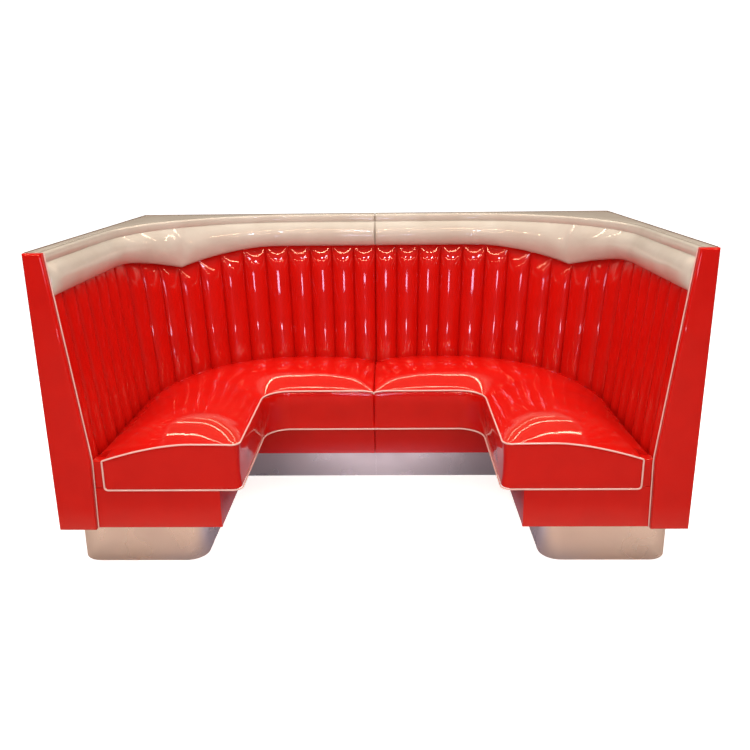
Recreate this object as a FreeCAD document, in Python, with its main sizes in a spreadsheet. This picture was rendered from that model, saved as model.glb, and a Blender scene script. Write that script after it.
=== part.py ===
import FreeCAD, Part
import math
import os
import Sketcher

# A U-shaped restaurant booth, upholstered in glossy vinyl, made of two mirrored halves that are
# bolted together at the middle of the back. Lengths are in millimetres.
#
# Each piece of the right half is drawn in local coordinates: x runs out from the middle of the
# booth, y runs back from the front plane of the end panels and z runs up from the floor. The
# placement of each piece then moves it back by half the depth, so that the origin is at the
# middle of the footprint. Every left piece is the mirror image of its right piece.

doc = FreeCAD.newDocument("CornerBooth")

# Driving sizes

sizes = {
    # overall
    "outer_width": 2032,
    "outer_depth": 1219,
    "overall_height": 1067,
    "centre_gap": 1,
    "fit_gap": 0.3,
    # outline of the end panels, which the back follows
    "panel_thickness": 20,
    "panel_board": 12,
    "panel_wrap": 3,
    "panel_edge_radius": 6,
    "panel_top_width": 58,
    "knee_width": 126,
    "knee_height": 404,
    "panel_foot_width": 120,
    # frame boards
    "wall_thickness": 18,
    "board_thickness": 18,
    "form_thickness": 6,
    # channelled back
    "corner_radius": 540,
    "channel_depth": 16,
    "channel_slit": 0.4,
    "dome_height": 38,
    "pad_backing": 12,
    "pad_bottom_height": 330,
    # cap, bead and head roll
    "cap_thickness": 18,
    "cap_width": 34,
    "cap_edge_radius": 5,
    "bead_width": 23,
    "bead_height": 30,
    "bead_edge_radius": 9,
    "roll_height": 101,
    "roll_bulge": 22,
    "roll_lip": 3,
    "roll_dip": 58,
    "roll_dip_reach_side": 330,
    "roll_dip_reach_rear": 400,
    # seat
    "bay_width": 832,
    "bay_depth": 555,
    "bay_corner_radius": 100,
    "cushion_setback": 9,
    "cushion_corner_inset": 164,
    "cushion_bottom_height": 310,
    "cushion_welt_height": 460,
    "cushion_corner_height": 407,
    "cushion_side_height": 404,
    "cushion_rear_height": 430,
    "cushion_crown": 24,
    "cushion_front_crown": 7,
    "cushion_front_roll": 70,
    "cushion_side_draw": 4,
    "seam_dip": 10,
    "seam_dip_reach": 45,
    "seat_board_thickness": 15,
    "seat_board_inset": 12,
    "filler_depth": 38,
    # base
    "base_bottom_height": 168,
    "side_overhang": 72,
    "rear_overhang": 92,
    "toe_recess": 84,
    "rear_toe_recess": 160,
    "toe_side_inset": 12,
    "toe_radius": 70,
    "toe_sheet": 1.5,
    # welts
    "seat_welt_diameter": 8,
    "panel_welt_diameter": 7,
    # bolts that join the halves
    "bolt_diameter": 10,
    "bolt_hole": 11,
    "bolt_flats": 17,
    "bolt_head_height": 6.4,
    "bolt_tip": 6,
    "nut_height": 8,
    "washer_diameter": 20,
    "washer_thickness": 2,
    "upper_bolt_height": 640,
    "lower_bolt_height": 460,
    "base_bolt_height": 250,
    "bolt_back_inset": 46,
    "base_bolt_inset": 200,
}

# Channels in half of the back, counted from the middle of the booth outward
rear_channel_count = 9
side_channel_count = 10
channel_count = rear_channel_count + side_channel_count

sheet = doc.addObject("Spreadsheet::Sheet", "Sizes")
for row, (alias, value) in enumerate(sizes.items(), start=1):
    sheet.set("A%d" % row, alias)
    sheet.set("B%d" % row, str(value))
    sheet.setAlias("B%d" % row, alias)

# Places that follow from the driving sizes

places = {
    "half_width": "Sizes.outer_width / 2",
    "seam_x": "Sizes.centre_gap / 2",
    "rear_y": "Sizes.outer_depth",
    "wall_inner_x": "half_width - Sizes.wall_thickness",
    "wall_inner_y": "rear_y - Sizes.wall_thickness",
    "cap_bottom_z": "Sizes.overall_height - Sizes.cap_thickness",
    "bead_bottom_z": "Sizes.overall_height - Sizes.bead_height",
    "cap_inner_x": "half_width - Sizes.cap_width",
    "cap_inner_y": "rear_y - Sizes.cap_width",
    "corner_inset": "Sizes.corner_radius + Sizes.knee_width",
    "corner_x": "half_width - corner_inset",
    "corner_y": "rear_y - corner_inset",
    "panel_back_y": "Sizes.panel_thickness",
    "panel_board_y": "Sizes.panel_thickness - Sizes.panel_board",
    "panel_top_x": "half_width - Sizes.panel_top_width",
    "panel_knee_x": "half_width - Sizes.knee_width",
    "panel_foot_x": "half_width - Sizes.panel_foot_width",
    "recess_top_x": "panel_top_x + Sizes.panel_wrap",
    "recess_knee_x": "panel_knee_x + Sizes.panel_wrap",
    "recess_foot_x": "panel_foot_x + Sizes.panel_wrap",
    "recess_outer_x": "half_width - Sizes.panel_wrap",
    "recess_top_z": "Sizes.overall_height - Sizes.panel_wrap",
    "recess_bottom_z": "Sizes.base_bottom_height + Sizes.panel_wrap",
    "inset_top_x": "recess_top_x + Sizes.fit_gap",
    "inset_knee_x": "recess_knee_x + Sizes.fit_gap",
    "inset_foot_x": "recess_foot_x + Sizes.fit_gap",
    "inset_outer_x": "recess_outer_x - Sizes.fit_gap",
    "inset_top_z": "recess_top_z - Sizes.fit_gap",
    "inset_bottom_z": "recess_bottom_z + Sizes.fit_gap",
    "form_depth": "Sizes.channel_depth + 2 * Sizes.fit_gap + Sizes.pad_backing + Sizes.form_thickness",
    "lean_share": "(Sizes.knee_width - Sizes.panel_top_width) / (Sizes.overall_height - Sizes.knee_height)",
    "form_top_depth": "form_depth - lean_share * Sizes.cap_thickness",
    "form_foot_x": "half_width - Sizes.knee_width + form_depth",
    "form_foot_y": "rear_y - Sizes.knee_width + form_depth",
    "form_top_x": "half_width - Sizes.panel_top_width + form_top_depth",
    "form_top_y": "rear_y - Sizes.panel_top_width + form_top_depth",
    "floor_top_z": "Sizes.base_bottom_height + Sizes.board_thickness",
    "base_inner_x": "Sizes.bay_width / 2 + Sizes.side_overhang",
    "base_rear_y": "Sizes.bay_depth + Sizes.rear_overhang",
    "base_front_back_y": "panel_back_y + Sizes.board_thickness",
    "floor_inner_x": "base_inner_x + Sizes.board_thickness",
    "floor_rear_y": "base_rear_y + Sizes.board_thickness",
    "seat_inner_x": "Sizes.bay_width / 2",
    "seat_corner_x": "half_width - Sizes.cushion_corner_inset",
    "toe_inner_x": "base_inner_x + Sizes.toe_recess",
    "toe_front_y": "panel_back_y + Sizes.toe_recess",
    "toe_rear_y": "base_rear_y + Sizes.rear_toe_recess",
    "toe_outer_x": "half_width - Sizes.toe_side_inset",
    "toe_end_y": "rear_y - Sizes.toe_side_inset",
    "toe_arc_inner_x": "toe_inner_x + Sizes.toe_radius",
    "toe_arc_outer_x": "toe_outer_x - Sizes.toe_radius",
    "toe_arc_y": "toe_front_y + Sizes.toe_radius",
    "sheet_inner_x": "toe_inner_x + Sizes.toe_sheet",
    "sheet_front_y": "toe_front_y + Sizes.toe_sheet",
    "sheet_rear_y": "toe_rear_y + Sizes.toe_sheet",
    "sheet_outer_x": "toe_outer_x - Sizes.toe_sheet",
    "stud_room": "Sizes.board_thickness + Sizes.fit_gap",
    "side_stud_spacing": "(corner_y - base_front_back_y - stud_room) / 3",
    "side_stud_1_y": "base_front_back_y + side_stud_spacing",
    "side_stud_2_y": "side_stud_1_y + side_stud_spacing",
    "side_stud_3_y": "side_stud_2_y + side_stud_spacing",
    "rear_stud_spacing": "(corner_x - seam_x - stud_room) / 2",
    "rear_stud_1_x": "seam_x + rear_stud_spacing",
    "rear_stud_2_x": "rear_stud_1_x + rear_stud_spacing",
    "arm_gable_spacing": "(floor_rear_y - base_front_back_y) / 3",
    "rear_gable_spacing": "(floor_inner_x - seam_x) / 3",
    "former_spacing": "(cap_bottom_z - Sizes.cushion_bottom_height) / 4",
    "former_1_z": "Sizes.cushion_bottom_height + former_spacing",
    "former_2_z": "former_1_z + former_spacing",
    "former_3_z": "former_2_z + former_spacing",
    "former_foot_z": "Sizes.knee_height - Sizes.board_thickness",
    "former_foot_reach": "Sizes.corner_radius + form_depth + Sizes.fit_gap",
    "former_1_reach": "former_foot_reach + lean_share * (former_1_z - former_foot_z)",
    "former_2_reach": "former_1_reach + lean_share * former_spacing",
    "former_3_reach": "former_2_reach + lean_share * former_spacing",
    "former_1_x": "corner_x + former_1_reach",
    "former_2_x": "corner_x + former_2_reach",
    "former_3_x": "corner_x + former_3_reach",
    "former_1_y": "corner_y + former_1_reach",
    "former_2_y": "corner_y + former_2_reach",
    "former_3_y": "corner_y + former_3_reach",
    "corner_gable_x": "floor_inner_x + Sizes.board_thickness * sqrt(0.5)",
    "corner_gable_y": "floor_rear_y",
    "corner_gable_start": "(corner_gable_x - corner_x + corner_gable_y - corner_y) * sqrt(0.5)",
    "corner_gable_length": "Sizes.corner_radius + form_depth - corner_gable_start",
    "plinth_outer_x": "sheet_outer_x - Sizes.fit_gap - Sizes.board_thickness",
    "grip_x": "seam_x + Sizes.board_thickness",
    "clamp_x": "grip_x + Sizes.washer_thickness",
    "nut_x": "-clamp_x - Sizes.nut_height",
    "bolt_end_x": "nut_x - Sizes.bolt_tip",
    "stud_bolt_y": "rear_y - Sizes.bolt_back_inset",
    "base_bolt_front_y": "floor_rear_y + Sizes.base_bolt_inset / 2",
    "base_bolt_back_y": "base_bolt_front_y + Sizes.base_bolt_inset",
}

place_sheet = doc.addObject("Spreadsheet::Sheet", "Places")
for row, (alias, formula) in enumerate(places.items(), start=1):
    place_sheet.set("A%d" % row, alias)
    place_sheet.setAlias("B%d" % row, alias)
for row, formula in enumerate(places.values(), start=1):
    place_sheet.set("B%d" % row, "=" + formula)
doc.recompute()


def size(name):
    return float(sheet.get(name))


def place(name):
    return float(place_sheet.get(name))


def amount(name):
    return size(name) if name in sizes else place(name)


def link(name):
    return ("Sizes." if name in sizes else "Places.") + name


def settle(piece, label):
    # Names the piece and moves it back by half the depth.
    piece.Label = label
    piece.setExpression("Placement.Base.y", "-Sizes.outer_depth / 2")
    return piece


# Boards: a closed outline on a plane of the piece, padded to a thickness

# The points of a sketch's edge have codes: 1 is its start, 2 its end and 3 its centre.

def add_outline(sketch, corners, arcs=None):
    # corners holds (across, up) names; arcs maps the edge that leaves a corner to its centre.
    arcs = arcs or {}
    points = [FreeCAD.Vector(amount(across), amount(up), 0) for across, up in corners]
    ends = []
    for index, start in enumerate(points):
        finish = points[(index + 1) % len(points)]
        if index in arcs:
            centre = FreeCAD.Vector(amount(arcs[index][0]), amount(arcs[index][1]), 0)
            first = math.atan2(start.y - centre.y, start.x - centre.x)
            last = math.atan2(finish.y - centre.y, finish.x - centre.x)
            turn = (last - first) % (2 * math.pi)
            circle = Part.Circle(centre, FreeCAD.Vector(0, 0, 1), (start - centre).Length)
            if turn <= math.pi:
                sketch.addGeometry(Part.ArcOfCircle(circle, first, first + turn), False)
                ends.append((1, 2))
            else:
                sketch.addGeometry(Part.ArcOfCircle(circle, last, last + 2 * math.pi - turn), False)
                ends.append((2, 1))
        else:
            sketch.addGeometry(Part.LineSegment(start, finish), False)
            ends.append((1, 2))
    for index in range(len(points)):
        after = (index + 1) % len(points)
        joint = Sketcher.Constraint("Coincident", index, ends[index][1], after, ends[after][0])
        sketch.addConstraint(joint)
    for index, (across, up) in enumerate(corners):
        bind(sketch, "DistanceX", index, ends[index][0], across)
        bind(sketch, "DistanceY", index, ends[index][0], up)
    for index, centre in arcs.items():
        bind(sketch, "DistanceX", index, 3, centre[0])


def bind(sketch, kind, edge, end, name):
    number = sketch.addConstraint(Sketcher.Constraint(kind, -1, 1, edge, end, amount(name)))
    sketch.setExpression("Constraints[%d]" % number, link(name))


def plane_sketch(body, name, role, offset):
    # offset names the distance of the sketch from the origin plane, along +x, +y or +z.
    sketch = body.newObject("Sketcher::SketchObject", name)
    plane = [item for item in body.Origin.OriginFeatures if item.Role == role][0]
    sketch.AttachmentSupport = [(plane, "")]
    sketch.MapMode = "FlatFace"
    sign = "-" if role == "XZ_Plane" else ""
    if offset:
        sketch.setExpression("AttachmentOffset.Base.z", sign + link(offset))
    return sketch


def board(name, role, offset, thickness, corners, arcs=None):
    body = doc.addObject("PartDesign::Body", name)
    sketch = plane_sketch(body, name + "_outline", role, offset)
    add_outline(sketch, corners, arcs)
    pad = body.newObject("PartDesign::Pad", name + "_pad")
    pad.Profile = sketch
    pad.setExpression("Length", link(thickness))
    pad.Reversed = role == "XZ_Plane"
    body.Tip = pad
    return settle(body, name)


def box(name, lengths, corner):
    # lengths and corner hold expressions for x, y and z.
    solid = doc.addObject("Part::Box", name)
    for side, length in zip(("Length", "Width", "Height"), lengths):
        solid.setExpression(side, length)
    for axis, expression in zip("xyz", corner):
        if axis == "y":
            expression = "%s - Sizes.outer_depth / 2" % expression
        solid.setExpression("Placement.Base." + axis, expression)
    solid.Label = name
    return solid


def group(name, members):
    gathered = doc.addObject("Part::Compound", name)
    gathered.Links = members
    gathered.Label = name
    return gathered


def formed(name, shape):
    piece = doc.addObject("Part::Feature", name)
    piece.Shape = shape
    return settle(piece, name)


def edges_where(feature, test):
    doc.recompute()
    found = []
    for number, edge in enumerate(feature.Shape.Edges, start=1):
        if test(edge):
            found.append("Edge%d" % number)
    return found


def round_edges(body, name, radius, test):
    base = body.Tip
    fillet = body.newObject("PartDesign::Fillet", name)
    fillet.Base = (base, edges_where(base, test))
    fillet.setExpression("Radius", link(radius))
    body.Tip = fillet


# The curve of the back, seen from above: straight along the side, a quarter circle, then straight
# to the middle. Widths are measured in from the outer faces of the booth.

corner_centre = FreeCAD.Vector(place("corner_x"), place("corner_y"), 0)
up = FreeCAD.Vector(0, 0, 1)
curve_start = place("seam_x")
curve_end = size("panel_thickness") + size("fit_gap")


def crest_width(height):
    # Width from the outer face to the crests of the channels: upright below the knee, leaning above.
    above = max(height - size("knee_height"), 0)
    lean = (size("knee_width") - size("panel_top_width")) / (size("overall_height") - size("knee_height"))
    return size("knee_width") - lean * above


def curve_runs(width):
    # Lengths of the rear run, the round corner and the side run of the curve of this width.
    radius = place("corner_inset") - width
    return corner_centre.x - curve_start, radius * math.pi / 2, corner_centre.y - curve_end


def curve_place(share, width):
    # Point on the curve of this width at a share of its length from the middle, and outward normal.
    radius = place("corner_inset") - width
    rear_run, round_run, side_run = curve_runs(width)
    travelled = share * (rear_run + round_run + side_run)
    if travelled <= rear_run:
        point = FreeCAD.Vector(curve_start + travelled, corner_centre.y + radius, 0)
        return point, FreeCAD.Vector(0, 1, 0)
    if travelled <= rear_run + round_run:
        angle = (travelled - rear_run) / radius
        outward = FreeCAD.Vector(math.sin(angle), math.cos(angle), 0)
        return corner_centre + outward * radius, outward
    left_over = travelled - rear_run - round_run
    point = FreeCAD.Vector(corner_centre.x + radius, corner_centre.y - left_over, 0)
    return point, FreeCAD.Vector(1, 0, 0)


def on_curve(share, reference_height, width, height):
    # The point at this width and height, opposite a share of the crest line at the reference height.
    reference = crest_width(reference_height)
    point, outward = curve_place(share, reference)
    return point + outward * (reference - width) + up * height


def curve_edges(first, last, height, width):
    # Line, arc and line along the curve at one height, between two shares of the crest line.
    radius = place("corner_inset") - width
    bend_start = corner_centre + FreeCAD.Vector(0, radius, height)
    bend_finish = corner_centre + FreeCAD.Vector(radius, 0, height)
    start = on_curve(first, height, width, height)
    finish = on_curve(last, height, width, height)
    before = []
    after = []
    if start.x < corner_centre.x:
        before.append(Part.makeLine(start, bend_start))
        start = bend_start
    if finish.y < corner_centre.y:
        after.append(Part.makeLine(bend_finish, finish))
        finish = bend_finish
    outward = (start + finish) * 0.5 - corner_centre
    outward.z = 0
    crest = corner_centre + outward.normalize() * radius + up * height
    return before + [Part.Arc(start, crest, finish).toShape()] + after


def band(first, last, heights, near_depth, far_depth):
    # A sheet that follows the back. The depths are measured out from the crests of the channels.
    wires = []
    for height in heights:
        near = crest_width(height) - near_depth
        far = crest_width(height) - far_depth
        edges = curve_edges(first, last, height, near) + curve_edges(first, last, height, far)
        for share in (first, last):
            edges.append(Part.makeLine(on_curve(share, height, near, height),
                                       on_curve(share, height, far, height)))
        wires.append(Part.Wire(Part.__sortEdges__(edges)))
    return Part.makeLoft(wires, True, True)


# Channelled back pads

roll_top_z = place("bead_bottom_z") - size("fit_gap")
roll_foot_z = place("bead_bottom_z") - size("roll_height")
cusp_share = rear_channel_count / channel_count


def roll_edge_height(share):
    # The lower edge of the head roll: level, with a pointed dip where the side meets the rear.
    distance = abs(share - cusp_share) * sum(curve_runs(crest_width(roll_foot_z)))
    reach = size("roll_dip_reach_rear") if share < cusp_share else size("roll_dip_reach_side")
    dip_share = max(1 - distance / reach, 0) ** 1.5
    return roll_foot_z - size("roll_dip") * dip_share


def channel_section(first, last, first_height, last_height, fullness):
    # One closed section of a channel: a round front between two seams, and a flat buried back.
    depth = size("channel_depth")
    start = on_curve(first, first_height, crest_width(first_height) - depth, first_height)
    finish = on_curve(last, last_height, crest_width(last_height) - depth, last_height)
    middle_height = (first_height + last_height) / 2
    middle = on_curve((first + last) / 2, middle_height, crest_width(middle_height) - depth, middle_height)
    sag = (middle - (start + finish) * 0.5).Length
    along = (finish - start).normalize()
    start = start + along * (size("channel_slit") / 2)
    finish = finish - along * (size("channel_slit") / 2)
    inward = along.cross(up).normalize()
    crest = (start + finish) * 0.5 + inward * (depth * fullness - sag)
    buried = inward * (-size("pad_backing") / 2)
    edges = [
        Part.Arc(start, crest, finish).toShape(),
        Part.makeLine(finish, finish + buried),
        Part.makeLine(finish + buried, start + buried),
        Part.makeLine(start + buried, start),
    ]
    return Part.Wire(edges)


# The round top of a channel: shares of the dome height below its top, with the fullness there
dome_shares = ((1, 1), (0.5, 0.9), (0.2, 0.62), (0, 0.2))


def channel(number):
    first = number / channel_count
    last = (number + 1) / channel_count
    first_top = roll_edge_height(first) - size("fit_gap")
    last_top = roll_edge_height(last) - size("fit_gap")
    sections = []
    for height in (size("pad_bottom_height"), size("knee_height")):
        sections.append(channel_section(first, last, height, height, 1))
    for drop_share, fullness in dome_shares:
        drop = size("dome_height") * drop_share
        sections.append(channel_section(first, last, first_top - drop, last_top - drop, fullness))
    return Part.makeLoft(sections, True, True)


def back_pad(first_number, last_number):
    # A row of channels sewn to one backing, which runs up behind the head roll.
    slit_share = size("channel_slit") / 2 / sum(curve_runs(size("knee_width")))
    first = first_number / channel_count + slit_share
    last = last_number / channel_count - slit_share
    heights = (size("pad_bottom_height"), size("knee_height"), roll_top_z)
    front = size("channel_depth") + size("fit_gap")
    backing = band(first, last, heights, front, front + size("pad_backing"))
    return backing.fuse([channel(number) for number in range(first_number, last_number)])


formed("right_rear_back_pad", back_pad(0, rear_channel_count))
formed("right_side_back_pad", back_pad(rear_channel_count, channel_count))

# The bent plywood form behind the pads stands on the base gables and reaches up to the cap.
form_front = size("channel_depth") + 2 * size("fit_gap") + size("pad_backing")
form_heights = (size("cushion_bottom_height"), size("knee_height"), place("cap_bottom_z"))
formed("right_back_form", band(0, 1, form_heights, form_front, form_front + size("form_thickness")))


# Head roll: a padded roll along the top of the back, with a rounded face and a tucked lower edge

def roll_section(share):
    foot = roll_edge_height(share)
    middle = (foot + roll_top_z) / 2
    behind = size("channel_depth") - size("fit_gap")
    back_foot = on_curve(share, roll_foot_z, crest_width(foot) - behind, foot)
    front_foot = on_curve(share, roll_foot_z, crest_width(foot) + size("roll_lip"), foot)
    face = on_curve(share, roll_foot_z, crest_width(middle) + size("roll_bulge"), middle)
    front_top = on_curve(share, roll_foot_z, size("cap_width") + size("bead_width"), roll_top_z)
    back_top = on_curve(share, roll_foot_z, crest_width(roll_top_z) - behind, roll_top_z)
    edges = [
        Part.makeLine(back_foot, front_foot),
        Part.Arc(front_foot, face, front_top).toShape(),
        Part.makeLine(front_top, back_top),
        Part.makeLine(back_top, back_foot),
    ]
    return Part.Wire(edges)


# Cap bead: the rounded inner edge of the cap

def bead_section(share):
    outer = size("cap_width") + size("fit_gap")
    inner = size("cap_width") + size("bead_width")
    bottom = place("bead_bottom_z")
    top = size("overall_height")
    radius = size("bead_edge_radius")
    slack = radius * (1 - math.sqrt(0.5))
    outline = [(outer, bottom), (inner, bottom), (inner, top - radius),
               (inner - slack, top - slack), (inner - radius, top), (outer, top)]
    points = [on_curve(share, roll_foot_z, width, height) for width, height in outline]
    edges = [
        Part.makeLine(points[0], points[1]),
        Part.makeLine(points[1], points[2]),
        Part.Arc(points[2], points[3], points[4]).toShape(),
        Part.makeLine(points[4], points[5]),
        Part.makeLine(points[5], points[0]),
    ]
    return Part.Wire(edges)


stations = [number / channel_count for number in range(channel_count + 1)]
formed("right_head_roll", Part.makeLoft([roll_section(share) for share in stations], True, True))
formed("right_cap_bead", Part.makeLoft([bead_section(share) for share in stations], True, True))


# Seat cushion: an L of foam under a crowned cover, rounded into the bay

cushion_bottom_z = size("cushion_bottom_height") + size("fit_gap")
cushion_width = size("knee_width") + 2 * size("fit_gap")
cushion_outer_x = place("half_width") - cushion_width
cushion_outer_y = place("rear_y") - cushion_width
cushion_radius = place("corner_inset") - cushion_width
cushion_step_y = size("panel_thickness") + size("filler_depth") + 2 * size("fit_gap")
bay_centre = FreeCAD.Vector(place("seat_inner_x") - size("bay_corner_radius"),
                            size("bay_depth") - size("bay_corner_radius"), 0)
fan_count = 12
crest_share = 0.42


def crown_arc(inner, outer, welt_z, crown, outer_z):
    # The top of the cushion from its outer edge over the crest to the welt on its inner edge.
    top = inner + (outer - inner) * crest_share
    return Part.Arc(outer + up * outer_z, top + up * (welt_z + crown), inner + up * welt_z)


def cushion_section(inner, outer, welt_z, crown, outer_z):
    # Flat bottom, upright outer side, crowned top, and an inner side drawn in between its edges.
    bottom_inner = inner + up * cushion_bottom_z
    bottom_outer = outer + up * cushion_bottom_z
    inward = (outer - inner).normalize()
    waist = inner + inward * size("cushion_side_draw") + up * ((cushion_bottom_z + welt_z) / 2)
    edges = [
        Part.makeLine(bottom_inner, bottom_outer),
        Part.makeLine(bottom_outer, outer + up * outer_z),
        crown_arc(inner, outer, welt_z, crown, outer_z).toShape(),
        Part.Arc(inner + up * welt_z, waist, bottom_inner).toShape(),
    ]
    return Part.Wire(edges)


def front_crown(y):
    # The crown grows from the front edge back over the length of the front roll.
    share = min((y - size("cushion_setback")) / size("cushion_front_roll"), 1)
    low = size("cushion_front_crown")
    return low + (size("cushion_crown") - low) * math.sqrt(share)


def across(y, outer_x, outer_z):
    # Values of a section straight across the arm of the seat.
    inner = FreeCAD.Vector(place("seat_inner_x"), y, 0)
    outer = FreeCAD.Vector(outer_x, y, 0)
    return inner, outer, size("cushion_welt_height"), front_crown(y), outer_z


def outer_corner(share):
    # Outer edge of the cushion at a share of the way round the corner, from the side to the rear.
    side_run = corner_centre.y - bay_centre.y
    round_run = cushion_radius * math.pi / 2
    rear_run = corner_centre.x - bay_centre.x
    travelled = share * (side_run + round_run + rear_run)
    if travelled <= side_run:
        return FreeCAD.Vector(cushion_outer_x, bay_centre.y + travelled, 0)
    if travelled <= side_run + round_run:
        angle = (travelled - side_run) / cushion_radius
        return corner_centre + FreeCAD.Vector(math.cos(angle), math.sin(angle), 0) * cushion_radius
    left_over = travelled - side_run - round_run
    return FreeCAD.Vector(corner_centre.x - left_over, cushion_outer_y, 0)


def round_corner(share):
    # Values of a section that fans out from the rounded corner of the bay.
    angle = share * math.pi / 2
    spoke = FreeCAD.Vector(math.cos(angle), math.sin(angle), 0)
    outer_z = size("cushion_side_height")
    outer_z = outer_z + (size("cushion_rear_height") - outer_z) * share
    inner = bay_centre + spoke * size("bay_corner_radius")
    return inner, outer_corner(share), size("cushion_welt_height"), size("cushion_crown"), outer_z


def along_rear(x, dip):
    # Values of a section straight across the rear of the seat, lowered near the middle seam.
    inner = FreeCAD.Vector(x, size("bay_depth"), 0)
    outer = FreeCAD.Vector(x, cushion_outer_y, 0)
    welt_z = size("cushion_welt_height") - dip
    outer_z = size("cushion_rear_height") - dip
    return inner, outer, welt_z, size("cushion_crown"), outer_z


crowned_y = size("cushion_setback") + size("cushion_front_roll")
dip_x = curve_start + size("seam_dip_reach")
front_values = [across(y, place("seat_corner_x"), size("cushion_corner_height"))
                for y in (size("cushion_setback"), cushion_step_y)]
seat_values = [across(y, cushion_outer_x, size("cushion_side_height"))
               for y in (cushion_step_y, crowned_y, (crowned_y + bay_centre.y) / 2, bay_centre.y)]
seat_values += [round_corner(number / fan_count) for number in range(1, fan_count + 1)]
seat_values += [along_rear(x, 0) for x in ((bay_centre.x + dip_x) / 2, dip_x)]
seat_values.append(along_rear(curve_start, size("seam_dip")))


def seat_board(inset, thickness):
    # The plywood board in the bottom of the cushion, or the pocket that holds it.
    inner_x = place("seat_inner_x") + inset
    front_y = size("cushion_setback") + inset
    rear_inner_y = size("bay_depth") + inset
    corner_x = place("seat_corner_x") - inset
    step_y = cushion_step_y + inset
    outer_x = cushion_outer_x - inset
    outer_y = cushion_outer_y - inset
    seam_x = curve_start + inset / 2
    diagonal = FreeCAD.Vector(math.sqrt(0.5), math.sqrt(0.5), 0)
    outer_bend = corner_centre + diagonal * (cushion_radius - inset)
    inner_bend = bay_centre + diagonal * (size("bay_corner_radius") + inset)
    at = FreeCAD.Vector
    edges = [
        Part.makeLine(at(inner_x, front_y, 0), at(corner_x, front_y, 0)),
        Part.makeLine(at(corner_x, front_y, 0), at(corner_x, step_y, 0)),
        Part.makeLine(at(corner_x, step_y, 0), at(outer_x, step_y, 0)),
        Part.makeLine(at(outer_x, step_y, 0), at(outer_x, corner_centre.y, 0)),
        Part.Arc(at(outer_x, corner_centre.y, 0), outer_bend, at(corner_centre.x, outer_y, 0)).toShape(),
        Part.makeLine(at(corner_centre.x, outer_y, 0), at(seam_x, outer_y, 0)),
        Part.makeLine(at(seam_x, outer_y, 0), at(seam_x, rear_inner_y, 0)),
        Part.makeLine(at(seam_x, rear_inner_y, 0), at(bay_centre.x, rear_inner_y, 0)),
        Part.Arc(at(bay_centre.x, rear_inner_y, 0), inner_bend, at(inner_x, bay_centre.y, 0)).toShape(),
        Part.makeLine(at(inner_x, bay_centre.y, 0), at(inner_x, front_y, 0)),
    ]
    solid = Part.Face(Part.Wire(edges)).extrude(up * thickness)
    solid.translate(up * size("cushion_bottom_height"))
    return solid


front_block = Part.makeLoft([cushion_section(*values) for values in front_values], True, True)
seat_block = Part.makeLoft([cushion_section(*values) for values in seat_values], True, True)
board_pocket = seat_board(size("seat_board_inset") - size("fit_gap"),
                          size("seat_board_thickness") + size("fit_gap"))
formed("right_seat_cushion", seat_block.fuse(front_block).cut(board_pocket))
formed("right_seat_board", seat_board(size("seat_board_inset"), size("seat_board_thickness")))


# Welts: cords of vinyl piping that follow straight runs joined by tangent arcs

def bent(points, radii):
    edges = []
    last = points[0]
    for before, corner, after, radius in zip(points, points[1:], points[2:], radii):
        arriving = (corner - before).normalize()
        leaving = (after - corner).normalize()
        turn = arriving.getAngle(leaving)
        cut = radius * math.tan(turn / 2)
        start = corner - arriving * cut
        finish = corner + leaving * cut
        bisector = (leaving - arriving).normalize()
        middle = corner + bisector * (radius / math.cos(turn / 2) - radius)
        edges.append(Part.makeLine(last, start))
        edges.append(Part.Arc(start, middle, finish).toShape())
        last = finish
    edges.append(Part.makeLine(last, points[-1]))
    return edges


def cord(points, radii, diameter):
    edges = bent(points, radii)
    start = edges[0].valueAt(edges[0].FirstParameter)
    heading = edges[0].tangentAt(edges[0].FirstParameter)
    circle = Part.Wire(Part.makeCircle(diameter / 2, start, heading))
    return Part.Wire(edges).makePipeShell([circle], True, False)


# Bend radii of the welts, as shares of their diameter, at corners and at slight changes of direction
corner_bend_share = 0.55
slight_bend_share = 2
front_bend_count = 6


def seat_welt():
    # Along the top inner edge, round the front outline of the arm and back along the bottom edge
    diameter = size("seat_welt_diameter")
    clear = diameter / 2 + size("fit_gap")
    beside = clear * math.sqrt(0.5)
    inner_x = place("seat_inner_x") - beside
    outer_x = place("seat_corner_x") + beside
    front_y = size("cushion_setback") - clear
    rear_y = size("bay_depth") - beside
    top_z = size("cushion_welt_height") + beside
    bottom_z = cushion_bottom_z - beside
    corner_z = size("cushion_corner_height") + beside
    seam_x = curve_start + diameter / 4

    # Corners of the tangents to a circle just above the crowned front edge
    crown = crown_arc(*front_values[0]).toShape()
    middle = crown.Curve.Center
    step = (crown.FirstParameter - crown.LastParameter) / front_bend_count
    reach = (crown.Curve.Radius + clear) / math.cos(step / 2)
    over = []
    for number in range(front_bend_count):
        spoke = crown.valueAt(crown.LastParameter + (number + 0.5) * step) - middle
        over.append(middle + spoke.normalize() * reach)

    at = FreeCAD.Vector
    points = [at(seam_x, rear_y, top_z - size("seam_dip")), at(dip_x, rear_y, top_z),
              at(inner_x, rear_y, top_z), at(inner_x, front_y, top_z)]
    points += [at(point.x, front_y, point.z) for point in over]
    points += [at(outer_x, front_y, corner_z), at(outer_x, front_y, bottom_z),
               at(inner_x, front_y, bottom_z), at(inner_x, rear_y, bottom_z),
               at(seam_x, rear_y, bottom_z)]
    bay_bend = size("bay_corner_radius") + beside
    corner_bend = corner_bend_share * diameter
    slight_bend = slight_bend_share * diameter
    radii = [slight_bend, bay_bend, corner_bend] + [bay_bend] * front_bend_count
    radii += [corner_bend, corner_bend, corner_bend, bay_bend]
    return cord(points, radii, diameter)


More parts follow.
